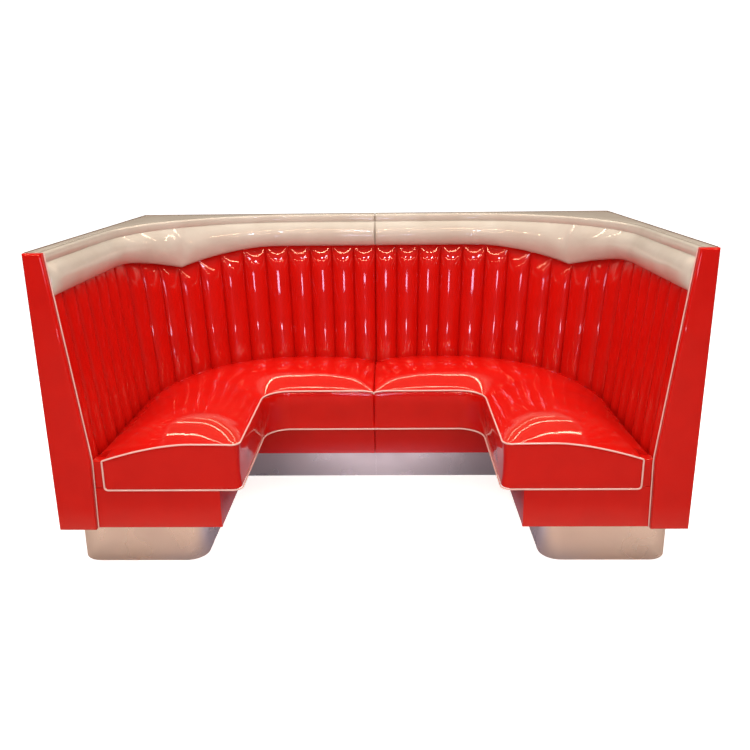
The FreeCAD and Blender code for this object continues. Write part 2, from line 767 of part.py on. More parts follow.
def panel_welt():
    # Down the inner edge of the end panel, over the knee to the foot
    diameter = size("panel_welt_diameter")
    clear = diameter / 2 + size("fit_gap")
    y = size("panel_thickness") - clear
    top_z = size("overall_height") - clear
    at = FreeCAD.Vector
    points = [
        at(place("half_width") - crest_width(top_z) - clear, y, top_z),
        at(place("panel_knee_x") - clear, y, size("knee_height")),
        at(place("panel_foot_x") - clear, y, size("base_bottom_height")),
    ]
    return cord(points, [slight_bend_share * diameter], diameter)


formed("right_seat_welt", seat_welt())
formed("right_end_panel_welt", panel_welt())

# Filler block between the cushion and the end panel

box("right_front_filler",
    ("Places.panel_knee_x - Places.seat_corner_x - 3 * Sizes.fit_gap", "Sizes.filler_depth",
     "Sizes.cushion_side_height - Sizes.cushion_bottom_height"),
    ("Places.seat_corner_x + Sizes.fit_gap", "Places.panel_back_y", "Sizes.cushion_bottom_height"))

# End panel: a board inside a padded cover that wraps round its edges

cover = board("right_end_panel_cover", "XZ_Plane", None, "panel_thickness", [
    ("panel_foot_x", "base_bottom_height"),
    ("half_width", "base_bottom_height"),
    ("half_width", "overall_height"),
    ("panel_top_x", "overall_height"),
    ("panel_knee_x", "knee_height"),
])
recess_sketch = plane_sketch(cover, "panel_recess_outline", "XZ_Plane", "panel_board_y")
add_outline(recess_sketch, [
    ("recess_foot_x", "recess_bottom_z"),
    ("recess_outer_x", "recess_bottom_z"),
    ("recess_outer_x", "recess_top_z"),
    ("recess_top_x", "recess_top_z"),
    ("recess_knee_x", "knee_height"),
])
recess = cover.newObject("PartDesign::Pocket", "panel_recess")
recess.Profile = recess_sketch
recess.setExpression("Length", "Sizes.panel_board")
cover.Tip = recess
round_edges(cover, "panel_rounding", "panel_edge_radius",
            lambda edge: edge.BoundBox.YMax < size("fit_gap"))
board("right_end_panel_board", "XZ_Plane", "panel_board_y", "panel_board", [
    ("inset_foot_x", "inset_bottom_z"),
    ("inset_outer_x", "inset_bottom_z"),
    ("inset_outer_x", "inset_top_z"),
    ("inset_top_x", "inset_top_z"),
    ("inset_knee_x", "knee_height"),
])

# Cap: a flat board over the walls, square outside and rounded inside the corner

cap = board("right_top_cap", "XY_Plane", "cap_bottom_z", "cap_thickness", [
    ("half_width", "panel_back_y"),
    ("half_width", "rear_y"),
    ("seam_x", "rear_y"),
    ("seam_x", "cap_inner_y"),
    ("corner_x", "cap_inner_y"),
    ("cap_inner_x", "corner_y"),
    ("cap_inner_x", "panel_back_y"),
], {4: ("corner_x", "corner_y")})
round_edges(cap, "cap_rounding", "cap_edge_radius",
            lambda edge: edge.BoundBox.ZMin > place("cap_bottom_z") + size("fit_gap")
            and (edge.BoundBox.XMin > place("cap_inner_x") + size("fit_gap")
                 or edge.BoundBox.YMin > place("cap_inner_y") + size("fit_gap")))

# Walls

wall_height = "Places.cap_bottom_z - Sizes.base_bottom_height"
box("right_side_wall",
    ("Sizes.wall_thickness", "Places.rear_y - Places.panel_back_y", wall_height),
    ("Places.wall_inner_x", "Places.panel_back_y", "Sizes.base_bottom_height"))
box("right_rear_wall",
    ("Places.wall_inner_x - Places.seam_x", "Sizes.wall_thickness", wall_height),
    ("Places.seam_x", "Places.wall_inner_y", "Sizes.base_bottom_height"))

# Base panels, and the floor board that everything above the plinth stands on

base_height = "Sizes.cushion_bottom_height - Sizes.base_bottom_height"
box("right_base_front_panel",
    ("Places.panel_foot_x - Places.base_inner_x", "Sizes.board_thickness", base_height),
    ("Places.base_inner_x", "Places.panel_back_y", "Sizes.base_bottom_height"))
box("right_base_side_panel",
    ("Sizes.board_thickness", "Places.floor_rear_y - Places.base_front_back_y", base_height),
    ("Places.base_inner_x", "Places.base_front_back_y", "Sizes.base_bottom_height"))
box("right_base_rear_panel",
    ("Places.base_inner_x - Places.seam_x", "Sizes.board_thickness", base_height),
    ("Places.seam_x", "Places.base_rear_y", "Sizes.base_bottom_height"))
board("right_base_floor", "XY_Plane", "base_bottom_height", "board_thickness", [
    ("floor_inner_x", "base_front_back_y"),
    ("wall_inner_x", "base_front_back_y"),
    ("wall_inner_x", "wall_inner_y"),
    ("seam_x", "wall_inner_y"),
    ("seam_x", "floor_rear_y"),
    ("floor_inner_x", "floor_rear_y"),
])

# End gable behind the end panel, and studs along the side and the rear

board("right_end_gable", "XZ_Plane", "panel_back_y", "board_thickness", [
    ("wall_inner_x", "base_bottom_height"),
    ("form_foot_x", "base_bottom_height"),
    ("form_foot_x", "knee_height"),
    ("form_top_x", "cap_bottom_z"),
    ("wall_inner_x", "cap_bottom_z"),
])
side_studs = [board("side_stud_%d" % number, "XZ_Plane", "side_stud_%d_y" % number, "board_thickness", [
    ("wall_inner_x", "floor_top_z"),
    ("form_foot_x", "floor_top_z"),
    ("form_foot_x", "knee_height"),
    ("form_top_x", "cap_bottom_z"),
    ("wall_inner_x", "cap_bottom_z"),
]) for number in (1, 2, 3)]
rear_studs = [board("rear_stud_%d" % number, "YZ_Plane", "rear_stud_%d_x" % number, "board_thickness", [
    ("wall_inner_y", "floor_top_z"),
    ("form_foot_y", "floor_top_z"),
    ("form_foot_y", "knee_height"),
    ("form_top_y", "cap_bottom_z"),
    ("wall_inner_y", "cap_bottom_z"),
]) for number in (1, 2)]
group("right_back_studs", side_studs + rear_studs)

# Formers that hold the bent form in the square corner of the walls

formers = [board("former_%d" % number, "XY_Plane", "former_%d_z" % number, "board_thickness", [
    ("former_%d_x" % number, "corner_y"),
    ("wall_inner_x", "corner_y"),
    ("wall_inner_x", "wall_inner_y"),
    ("corner_x", "wall_inner_y"),
    ("corner_x", "former_%d_y" % number),
], {4: ("corner_x", "corner_y")}) for number in (1, 2, 3)]
group("right_corner_formers", formers)

# Centre gable, drilled for the bolts that join the halves

centre_gable = board("right_centre_gable", "YZ_Plane", "seam_x", "board_thickness", [
    ("floor_rear_y", "floor_top_z"),
    ("wall_inner_y", "floor_top_z"),
    ("wall_inner_y", "cap_bottom_z"),
    ("form_top_y", "cap_bottom_z"),
    ("form_foot_y", "knee_height"),
    ("form_foot_y", "cushion_bottom_height"),
    ("floor_rear_y", "cushion_bottom_height"),
])
bolt_places = [
    ("stud_bolt_y", "upper_bolt_height"),
    ("stud_bolt_y", "lower_bolt_height"),
    ("base_bolt_back_y", "base_bolt_height"),
    ("base_bolt_front_y", "base_bolt_height"),
]
hole_sketch = plane_sketch(centre_gable, "bolt_hole_circles", "YZ_Plane", "seam_x")
for number, (y_name, z_name) in enumerate(bolt_places):
    middle = FreeCAD.Vector(amount(y_name), amount(z_name), 0)
    hole_sketch.addGeometry(Part.Circle(middle, up, size("bolt_hole") / 2), False)
    bind(hole_sketch, "DistanceX", number, 3, y_name)
    bind(hole_sketch, "DistanceY", number, 3, z_name)
    across_hole = hole_sketch.addConstraint(Sketcher.Constraint("Diameter", number, size("bolt_hole")))
    hole_sketch.setExpression("Constraints[%d]" % across_hole, "Sizes.bolt_hole")
holes = centre_gable.newObject("PartDesign::Pocket", "bolt_holes")
holes.Profile = hole_sketch
holes.setExpression("Length", "Sizes.board_thickness")
holes.Reversed = True
centre_gable.Tip = holes

# Base gables: across the arm, across the rear, and one on the diagonal of the corner

gable_height = "Sizes.cushion_bottom_height - Places.floor_top_z"
arm_gables = [box("arm_gable_%d" % number,
                  ("Places.form_foot_x - Places.floor_inner_x", "Sizes.board_thickness", gable_height),
                  ("Places.floor_inner_x", "Places.base_front_back_y + %d * Places.arm_gable_spacing" % number,
                   "Places.floor_top_z")) for number in (1, 2)]
rear_gables = [box("rear_gable_%d" % number,
                   ("Sizes.board_thickness", "Places.form_foot_y - Places.floor_rear_y", gable_height),
                   ("Places.seam_x + %d * Places.rear_gable_spacing" % number, "Places.floor_rear_y",
                    "Places.floor_top_z")) for number in (1, 2)]
corner_gable = box("corner_gable",
                   ("Places.corner_gable_length", "Sizes.board_thickness", gable_height),
                   ("Places.corner_gable_x", "Places.corner_gable_y", "Places.floor_top_z"))
corner_gable.Placement.Rotation = FreeCAD.Rotation(up, 45)
group("right_base_gables", arm_gables + rear_gables + [corner_gable])

# Toe kick: one metal sheet bent round the plinth, with round front corners

board("right_toe_kick", "XY_Plane", None, "base_bottom_height", [
    ("seam_x", "toe_rear_y"),
    ("toe_inner_x", "toe_rear_y"),
    ("toe_inner_x", "toe_arc_y"),
    ("toe_arc_inner_x", "toe_front_y"),
    ("toe_arc_outer_x", "toe_front_y"),
    ("toe_outer_x", "toe_arc_y"),
    ("toe_outer_x", "toe_end_y"),
    ("sheet_outer_x", "toe_end_y"),
    ("sheet_outer_x", "toe_arc_y"),
    ("toe_arc_outer_x", "sheet_front_y"),
    ("toe_arc_inner_x", "sheet_front_y"),
    ("sheet_inner_x", "toe_arc_y"),
    ("sheet_inner_x", "sheet_rear_y"),
    ("seam_x", "sheet_rear_y"),
], {
    2: ("toe_arc_inner_x", "toe_arc_y"),
    4: ("toe_arc_outer_x", "toe_arc_y"),
    8: ("toe_arc_outer_x", "toe_arc_y"),
    10: ("toe_arc_inner_x", "toe_arc_y"),
})

# Plinth: boards on edge inside the toe kick, which carry the base floor

plinth_height = "Sizes.base_bottom_height"
plinth = [
    box("plinth_front",
        ("Places.toe_arc_outer_x - Places.toe_arc_inner_x", "Sizes.board_thickness", plinth_height),
        ("Places.toe_arc_inner_x", "Places.sheet_front_y + Sizes.fit_gap", "0")),
    box("plinth_inner",
        ("Sizes.board_thickness", "Places.toe_rear_y - Places.toe_arc_y", plinth_height),
        ("Places.sheet_inner_x + Sizes.fit_gap", "Places.toe_arc_y", "0")),
    box("plinth_middle",
        ("Places.sheet_inner_x - Places.seam_x", "Sizes.board_thickness", plinth_height),
        ("Places.seam_x", "Places.sheet_rear_y + Sizes.fit_gap", "0")),
    box("plinth_outer",
        ("Sizes.board_thickness", "Places.toe_end_y - Places.toe_arc_y", plinth_height),
        ("Places.plinth_outer_x", "Places.toe_arc_y", "0")),
    box("plinth_back",
        ("Places.plinth_outer_x - Places.seam_x", "Sizes.board_thickness", plinth_height),
        ("Places.seam_x", "Places.toe_end_y - Sizes.board_thickness", "0")),
]
group("right_plinth_frame", plinth)

# Bolts, washers and nuts that join the halves through the centre gables. They lie along x.


def rod(name, kind, start_x, length, radius, spot):
    # A cylinder, or a hexagon given by its circumradius.
    y_name, z_name = spot
    solid = doc.addObject(kind, name)
    solid.Placement.Rotation = FreeCAD.Rotation(FreeCAD.Vector(0, 1, 0), 90)
    solid.setExpression("Placement.Base.x", start_x)
    solid.setExpression("Placement.Base.y", link(y_name) + " - Sizes.outer_depth / 2")
    solid.setExpression("Placement.Base.z", link(z_name))
    solid.setExpression("Height", length)
    solid.setExpression("Circumradius" if kind == "Part::Prism" else "Radius", radius)
    return solid


def pair(kind, name, base, tool):
    joined = doc.addObject(kind, name)
    joined.Base = base
    joined.Tool = tool
    return joined


bolts = []
washers = []
nuts = []
for number, spot in enumerate(bolt_places, start=1):
    label = "_%d" % number
    head = rod("bolt_head" + label, "Part::Prism", "Places.clamp_x", "Sizes.bolt_head_height",
               "Sizes.bolt_flats / sqrt(3)", spot)
    shank = rod("bolt_shank" + label, "Part::Cylinder", "Places.bolt_end_x",
                "Places.clamp_x - Places.bolt_end_x", "Sizes.bolt_diameter / 2", spot)
    bolts.append(pair("Part::Fuse", "bolt" + label, head, shank))
    body = rod("nut_body" + label, "Part::Prism", "Places.nut_x", "Sizes.nut_height",
               "Sizes.bolt_flats / sqrt(3)", spot)
    bore = rod("nut_bore" + label, "Part::Cylinder", "Places.nut_x", "Sizes.nut_height",
               "Sizes.bolt_diameter / 2 + Sizes.fit_gap", spot)
    nuts.append(pair("Part::Cut", "nut" + label, body, bore))
    for side, start_x in (("right", "Places.grip_x"), ("left", "-Places.clamp_x")):
        disc = rod(side + "_washer_disc" + label, "Part::Cylinder", start_x,
                   "Sizes.washer_thickness", "Sizes.washer_diameter / 2", spot)
        hole = rod(side + "_washer_hole" + label, "Part::Cylinder", start_x,
                   "Sizes.washer_thickness", "Sizes.bolt_hole / 2", spot)
        washers.append(pair("Part::Cut", side + "_washer" + label, disc, hole))
group("joining_bolts", bolts)
group("joining_nuts", nuts)
group("joining_washers", washers)

# The left half mirrors the right half

half_names = (
    "rear_back_pad", "side_back_pad", "back_form", "head_roll", "cap_bead", "top_cap",
    "seat_cushion", "seat_board", "seat_welt", "front_filler",
    "end_panel_cover", "end_panel_board", "end_panel_welt",
    "side_wall", "rear_wall", "end_gable", "back_studs", "corner_formers", "centre_gable",
    "base_front_panel", "base_side_panel", "base_rear_panel", "base_floor", "base_gables",
    "toe_kick", "plinth_frame",
)
pieces = [doc.getObjectsByLabel(name)[0] for name in ("joining_bolts", "joining_nuts", "joining_washers")]
for name in half_names:
    right_piece = doc.getObjectsByLabel("right_" + name)[0]
    left_piece = doc.addObject("Part::Mirroring", "left_" + name)
    left_piece.Source = right_piece
    left_piece.Base = FreeCAD.Vector(0, 0, 0)
    left_piece.Normal = FreeCAD.Vector(1, 0, 0)
    left_piece.Label = "left_" + name
    pieces += [right_piece, left_piece]
doc.recompute()

# Checks, then one file for each piece

for item in doc.Objects:
    if "Invalid" in item.State or "Error" in item.State:
        raise RuntimeError("%s failed to build" % item.Label)
for piece in pieces:
    if piece.Shape.isNull() or not piece.Shape.isValid() or not piece.Shape.Solids:
        raise RuntimeError("%s has no valid solid" % piece.Label)

os.makedirs("parts", exist_ok=True)
for piece in pieces:
    piece.Shape.exportStep(os.path.join("parts", piece.Label + ".step"))
    print(piece.Label, len(piece.Shape.Solids), "solids", round(piece.Shape.Volume), "mm3")
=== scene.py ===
import math

import bmesh
import bpy
import numpy as np
from mathutils import Matrix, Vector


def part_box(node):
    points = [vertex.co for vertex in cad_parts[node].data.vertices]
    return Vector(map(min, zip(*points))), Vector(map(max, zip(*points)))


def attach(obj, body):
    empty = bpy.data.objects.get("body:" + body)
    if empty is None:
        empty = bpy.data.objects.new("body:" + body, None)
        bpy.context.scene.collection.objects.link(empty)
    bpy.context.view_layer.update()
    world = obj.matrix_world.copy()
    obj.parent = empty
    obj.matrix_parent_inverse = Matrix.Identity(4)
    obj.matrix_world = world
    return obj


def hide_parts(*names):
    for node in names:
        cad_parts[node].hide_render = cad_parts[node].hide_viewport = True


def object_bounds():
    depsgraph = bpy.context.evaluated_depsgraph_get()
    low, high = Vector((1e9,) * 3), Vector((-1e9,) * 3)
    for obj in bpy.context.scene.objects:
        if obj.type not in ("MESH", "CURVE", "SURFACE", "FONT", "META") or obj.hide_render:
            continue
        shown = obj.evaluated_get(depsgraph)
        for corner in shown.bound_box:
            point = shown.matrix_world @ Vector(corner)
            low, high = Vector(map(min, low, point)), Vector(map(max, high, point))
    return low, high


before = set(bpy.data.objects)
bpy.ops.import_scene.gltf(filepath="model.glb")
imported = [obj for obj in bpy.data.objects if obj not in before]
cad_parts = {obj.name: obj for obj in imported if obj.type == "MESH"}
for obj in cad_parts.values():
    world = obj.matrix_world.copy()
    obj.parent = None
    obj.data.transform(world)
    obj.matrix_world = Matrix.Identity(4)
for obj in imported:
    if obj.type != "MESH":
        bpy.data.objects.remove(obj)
cadBounds = [list(corner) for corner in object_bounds()]
scene = bpy.context.scene

# A U-shaped diner booth in glossy vinyl. Lengths are millimetres until a mesh is made: x runs out
# from the middle of the booth, y back from the front of the end panels, z up from the floor.
# Every piece is worked out for the right half and mirrored for the left.

depth = (cadBounds[1][1] - cadBounds[0][1]) * 1000
quarter = math.pi / 2


def join(*parts, axis=0):
    return np.concatenate(parts, axis=axis)


def at(*values):
    # Points from their coordinates, each an array or one number for all.
    return np.stack(np.broadcast_arrays(*values), axis=-1)


def evenly(count):
    return np.linspace(0, 1, count)


def nodeBox(name):
    low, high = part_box(name)
    shift = np.array([0, depth / 2, 0])
    return np.array(low) * 1000 + shift, np.array(high) * 1000 + shift


unevenness = {"waves": 7, "longest": 0.6, "shortest": 1.5}


def uneven(points, piece, seed):
    # A piece's soft unevenness: a few sine waves in random directions, about one per wave length.
    # A third of their sum seldom passes the piece's wave.
    count = unevenness["waves"]
    random = np.random.default_rng(seed)
    ways = random.normal(size=(count, 3))
    ways *= (2 * math.pi / piece["waveLength"]) / np.linalg.norm(ways, axis=1, keepdims=True)
    ways *= random.uniform(unevenness["longest"], unevenness["shortest"], (count, 1))
    phases = random.uniform(0, 2 * math.pi, count)
    return np.sin(points @ ways.T + phases).sum(axis=-1) * piece["wave"] / 3


def makeMesh(name, grids, material, sharpAngle):
    # Joins grids of points into one closed mesh: touching borders are welded and open ends filled.
    corners = []
    points = []
    count = 0
    for grid in grids:
        rows, columns = grid.shape[:2]
        index = np.arange(rows * columns).reshape(rows, columns) + count
        quads = at(index[:-1, :-1], index[:-1, 1:], index[1:, 1:], index[1:, :-1])
        corners.append(quads.reshape(-1, 4))
        points.append(grid.reshape(-1, 3))
        count += rows * columns
    places = (np.concatenate(points) - [0, depth / 2, 0]) / 1000
    mesh = bpy.data.meshes.new(name)
    mesh.from_pydata(places.tolist(), [], np.concatenate(corners).tolist())
    work = bmesh.new()
    work.from_mesh(mesh)
    bmesh.ops.remove_doubles(work, verts=work.verts, dist=2e-5)
    bmesh.ops.dissolve_degenerate(work, edges=work.edges, dist=1e-5)
    bmesh.ops.holes_fill(work, edges=[edge for edge in work.edges if edge.is_boundary], sides=0)
    bmesh.ops.recalc_face_normals(work, faces=work.faces)
    work.to_mesh(mesh)
    work.free()
    mesh.materials.append(material)
    mesh.shade_smooth()
    mesh.set_sharp_from_angle(angle=math.radians(sharpAngle))
    piece = bpy.data.objects.new(name, mesh)
    scene.collection.objects.link(piece)
    return piece


def addPair(name, makeGrids, material, nodes, sharpAngle=35):
    # makeGrids takes a seed, so that the small unevenness differs between the halves.
    made = []
    for seed, (side, sign) in enumerate((("right", 1), ("left", -1))):
        grids = [grid * [sign, 1, 1] for grid in makeGrids(seed)]
        piece = makeMesh(side + name, grids, material, sharpAngle)
        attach(piece, "root")
        if nodes:
            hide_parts(*[side + "_" + node for node in nodes])
        made.append(piece)
    print("made", name)
    return made


def closeRound(grid):
    # Repeats the first column after the last, so that the grid closes on itself.
    return join(grid, grid[:, :1], axis=1)


def ease(share):
    # Smooth step: 3 s squared less 2 s cubed, held between 0 and 1.
    share = np.clip(share, 0, 1)
    return share * share * (3 - 2 * share)


def seamGroove(distance, radius, slot=0.0, power=1):
    # How far a skin sinks beside a seam. With nearness n = 1 - distance / radius it is a quarter
    # circle, radius x (1 - root of (1 - 0.99 n squared)), and a slot x n to the power.
    nearness = np.clip(1 - distance / radius, 0, 1)
    return radius * (1 - np.sqrt(1 - 0.99 * nearness ** 2)) + slot * nearness ** power


def unit(ways):
    return ways / np.linalg.norm(ways, axis=1, keepdims=True)


def tube(path, radius, segments=14):
    # A round cord: circles of the radius about each point, square to the path. The direction
    # (1, 1, 1) is never along these paths, so its cross product with the path gives steady frames.
    along = unit(np.gradient(path, axis=0))
    side = unit(np.cross(along, [1, 1, 1]))
    other = np.cross(along, side)
    turn = np.arange(segments) * 2 * math.pi / segments
    ring = np.cos(turn)[None, :, None] * side[:, None] + np.sin(turn)[None, :, None] * other[:, None]
    return closeRound(path[:, None] + radius * ring)


def respaced(path, evenPlaces, closest):
    # The path's own points and others evenly along it, none closer to the one before than closest.
    steps = np.linalg.norm(np.diff(path, axis=0), axis=1)
    travelled = join([0], np.cumsum(steps))
    where = np.unique(join(travelled, evenPlaces(travelled[-1])))
    where = where[join([True], np.diff(where) > closest)]
    return at(*[np.interp(where, travelled, column) for column in path.T])


def bendPath(corners, radii, spacing=4):
    # A path of straight runs whose corners are quadratic curves that start and end a radius away.
    corners = np.array(corners, float)
    parts = [corners[:1]]
    blend = evenly(9)[:, None]
    for before, corner, after, radius in zip(corners, corners[1:], corners[2:], radii):
        start = corner + (before - corner) / np.linalg.norm(before - corner) * radius
        finish = corner + (after - corner) / np.linalg.norm(after - corner) * radius
        parts.append((1 - blend) ** 2 * start + 2 * blend * (1 - blend) * corner + blend ** 2 * finish)
    parts.append(corners[-1:])
    return respaced(np.concatenate(parts), lambda end: np.linspace(0, end, int(end / spacing) + 1), 0.4)


def linear(code):
    # sRGB hex code to linear values.
    parts = np.array([int(code[place:place + 2], 16) for place in (0, 2, 4)]) / 255
    low = parts / 12.92
    high = ((parts + 0.055) / 1.055) ** 2.4
    return (*np.where(parts <= 0.04045, low, high).tolist(), 1)


def feed(tree, node, inputs):
    # Gives a node's inputs their values, or the sockets that they read.
    for key, value in inputs.items():
        if isinstance(value, bpy.types.NodeSocket):
            tree.links.new(value, node.inputs[key])
        else:
            node.inputs[key].default_value = value


def addNode(tree, kind, settings=None, inputs=None):
    node = tree.nodes.new(kind)
    for key, value in (settings or {}).items():
        setattr(node, key, value)
    feed(tree, node, inputs or {})
    return node


def newMaterial(name, shader):
    # A material with one Principled shader; returns it with its tree, shader and object position.
    material = bpy.data.materials.new(name)
    material.use_nodes = True
    tree = material.node_tree
    tree.nodes.clear()
    output = addNode(tree, "ShaderNodeOutputMaterial")
    principled = addNode(tree, "ShaderNodeBsdfPrincipled", None, shader)
    tree.links.new(principled.outputs[0], output.inputs[0])
    place = addNode(tree, "ShaderNodeTexCoord").outputs["Object"]
    return material, tree, principled, place


def mixColours(tree, share, first, second):
    return addNode(tree, "ShaderNodeMix", {"data_type": "RGBA"}, {0: share, 6: first, 7: second}).outputs[2]


def noise(tree, place, size, detail=2.0, distortion=0.0):
    # Cloudy noise with features of about the size, or of three sizes along x, y and z.
    if isinstance(size, list):
        scale = [1000 / part for part in size]
        place = addNode(tree, "ShaderNodeMapping", None, {"Vector": place, "Scale": scale}).outputs[0]
        size = 1000
    return addNode(tree, "ShaderNodeTexNoise", None, {
        "Vector": place, "Scale": 1000 / size, "Detail": detail, "Distortion": distortion}).outputs[0]


def mapRange(tree, value, low, high, toLow=0.0, toHigh=1.0):
    return addNode(tree, "ShaderNodeMapRange", None, {
        "Value": value, "From Min": low, "From Max": high, "To Min": toLow, "To Max": toHigh}).outputs[0]


def calculate(tree, operation, *values):
    return addNode(tree, "ShaderNodeMath", {"operation": operation}, dict(enumerate(values))).outputs[0]


def bump(tree, height, rise, strength=1.0, under=None):
    # Bump of a rise in millimetres, over another bump where one is given.
    node = addNode(tree, "ShaderNodeBump", None, {
        "Height": height, "Distance": rise / 1000, "Strength": strength})
    if under is not None:
        tree.links.new(under, node.inputs["Normal"])
    return node.outputs[0]


# What the vinyls share unless a look says otherwise. The cloud's ends are values of its noise; a
# fleck fades out at its reach, a distance in fleck sizes.
vinylBase = {
    "refraction": 1.5, "underGloss": 0.15, "pearl": 0.0,
    "cloudLow": 0.35, "cloudHigh": 0.68, "cloudDetail": 3.0,
    "fleckSize": 1.6, "fleckReach": 0.16, "fleckShare": 0.3,
}


def vinylMaterial(name, changes):
    # A pigmented sheet under a clear coat: slow clouds and tiny flecks in the colour, and fine
    # grain on broad waves in the surface.
    look = {**vinylBase, **changes}
    material, tree, principled, place = newMaterial(name, {
        "Roughness": look["roughness"],
        "IOR": look["refraction"],
        "Coat Weight": look["gloss"],
        "Coat Roughness": look["glossRoughness"],
        "Coat IOR": look["refraction"],
        "Specular IOR Level": look["underGloss"],
        "Metallic": look["pearl"],
    })
    cloud = noise(tree, place, look["cloudSize"], look["cloudDetail"])
    cloudShare = mapRange(tree, cloud, look["cloudLow"], look["cloudHigh"])
    base = mixColours(tree, cloudShare, linear(look["colour"]), linear(look["deepColour"]))
    fleck = addNode(tree, "ShaderNodeTexVoronoi", None, {
        "Vector": place, "Scale": 1000 / look["fleckSize"], "Randomness": 1.0}).outputs["Distance"]
    fleckShare = mapRange(tree, fleck, 0.0, look["fleckReach"], look["fleckShare"], 0.0)
    flecked = mixColours(tree, fleckShare, base, linear(look["fleckColour"]))
    grain = bump(tree, noise(tree, place, look["grainSize"]), look["grainHeight"])
    surface = bump(tree, noise(tree, place, look["waveSize"], 1.0), look["waveHeight"], 1.0, grain)
    feed(tree, principled, {"Base Color": flecked, "Normal": surface, "Coat Normal": surface})
    return material


# PVC upholstery vinyl, calendered and polished: deep colour under a clear mirror-like skin
redVinyl = vinylMaterial("glossyRedVinyl", {
    "colour": "C81008", "deepColour": "C20E07", "roughness": 0.32,
    "gloss": 1.0, "glossRoughness": 0.035, "underGloss": 0.06,
    "cloudSize": 90, "grainSize": 2.2, "grainHeight": 0.02, "waveSize": 38, "waveHeight": 0.035,
    "fleckColour": "FF5A48",
})

# Pearl vinyl: pale pigment with a little mica, which lifts the colour where light glances off it
creamVinyl = vinylMaterial("pearlCreamVinyl", {
    "colour": "C5BDB0", "deepColour": "BCB2A4", "roughness": 0.42,
    "gloss": 0.9, "glossRoughness": 0.045, "underGloss": 0.1, "pearl": 0.05,
    "cloudSize": 120, "grainSize": 2.5, "grainHeight": 0.02, "waveSize": 46, "waveHeight": 0.07,
    "fleckSize": 1.8, "fleckColour": "F6ECD8",
})

# Vinyl welt cord: the same skin drawn tight over a cord, with a slight ripple from the stitches
weltVinyl = vinylMaterial("whiteWeltVinyl", {
    "colour": "E6BCB2", "deepColour": "E0B2A8", "roughness": 0.4, "gloss": 0.8, "glossRoughness": 0.1,
    "cloudSize": 60, "grainSize": 2, "grainHeight": 0.03, "waveSize": 9, "waveHeight": 0.12,
    "fleckColour": "FFFFFF",
})

# Dull dark brown vinyl for a cord that draws a dark line along the cap's outer edge
darkEdgeVinyl = vinylMaterial("brownHemVinyl", {
    "colour": "6A4632", "deepColour": "573825", "roughness": 0.5, "gloss": 0.3, "glossRoughness": 0.25,
    "cloudSize": 50, "grainSize": 2, "grainHeight": 0.05, "waveSize": 12, "waveHeight": 0.1,
    "fleckColour": "8A6248",
})

# Brushed stainless sheet: long horizontal scratches that smear reflections, and a few dull blotches
steelLook = {
    "colour": "DEDAD8", "brightRoughness": 0.22, "dullRoughness": 0.44, "smear": 0.4,
    "scratch": [90, 90, 1.6], "scratchDetail": 3.0, "scratchRise": 0.04, "scratchStrength": 0.4,
    "blotchSize": 120, "blotchLow": 0.3, "blotchHigh": 0.7,
}
brushedSteel, tree, principled, place = newMaterial("brushedStainless", {
    "Metallic": 1.0, "Base Color": linear(steelLook["colour"]), "Anisotropic": steelLook["smear"]})
blotches = noise(tree, place, steelLook["blotchSize"])
dullness = mapRange(tree, blotches, steelLook["blotchLow"], steelLook["blotchHigh"],
                    steelLook["brightRoughness"], steelLook["dullRoughness"])
scratches = noise(tree, place, steelLook["scratch"], steelLook["scratchDetail"])
scratched = bump(tree, scratches, steelLook["scratchRise"], steelLook["scratchStrength"])
feed(tree, principled, {"Roughness": dullness, "Normal": scratched})

# Zinc-plated steel fasteners: bright, slightly blue, with faint cloudy plating
zincLook = {"bright": "C9CDD2", "dull": "A9B0B8", "roughness": 0.32, "cloudSize": 3.846, "cloudDetail": 3.0}
zincSteel, tree, principled, place = newMaterial("zincPlatedSteel", {
    "Metallic": 1.0, "Roughness": zincLook["roughness"]})
plating = noise(tree, place, zincLook["cloudSize"], zincLook["cloudDetail"])
zincColour = mixColours(tree, plating, linear(zincLook["bright"]), linear(zincLook["dull"]))
feed(tree, principled, {"Base Color": zincColour})

# Birch plywood: a pale rotary-cut face with long soft figure and scattered brown pores
woodLook = {
    "pale": "E2C597", "brown": "B98F5C", "pore": "7E5A34", "roughness": 0.55, "refraction": 1.5,
    "figure": [142.857, 142.857, 16.6667], "figureDetail": 6.0, "figureBend": 1.2,
    "figureRise": 0.3, "poreSize": 1.1111, "poreLow": 0.58, "poreHigh": 0.75, "poreShare": 0.35,
}
plywood, tree, principled, place = newMaterial("birchPlywood", {
    "Roughness": woodLook["roughness"], "IOR": woodLook["refraction"]})
figure = noise(tree, place, woodLook["figure"], woodLook["figureDetail"], woodLook["figureBend"])
figureColour = mixColours(tree, figure, linear(woodLook["pale"]), linear(woodLook["brown"]))
pores = noise(tree, place, woodLook["poreSize"])
poreShare = mapRange(tree, pores, woodLook["poreLow"], woodLook["poreHigh"], 0.0, woodLook["poreShare"])
woodColour = mixColours(tree, poreShare, figureColour, linear(woodLook["pore"]))
feed(tree, principled, {"Base Color": woodColour, "Normal": bump(tree, figure, woodLook["figureRise"])})

fastenerNodes = ("joining_bolts", "joining_nuts", "joining_washers")
for name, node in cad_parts.items():
    node.data.materials.clear()
    node.data.materials.append(zincSteel if name in fastenerNodes else plywood)
print("made materials")

rollBox = nodeBox("right_head_roll")
capBox = nodeBox("right_top_cap")
panelBox = nodeBox("right_end_panel_cover")
panelY = panelBox[1][1]
halfWidth, rearY, boothTop = capBox[1]

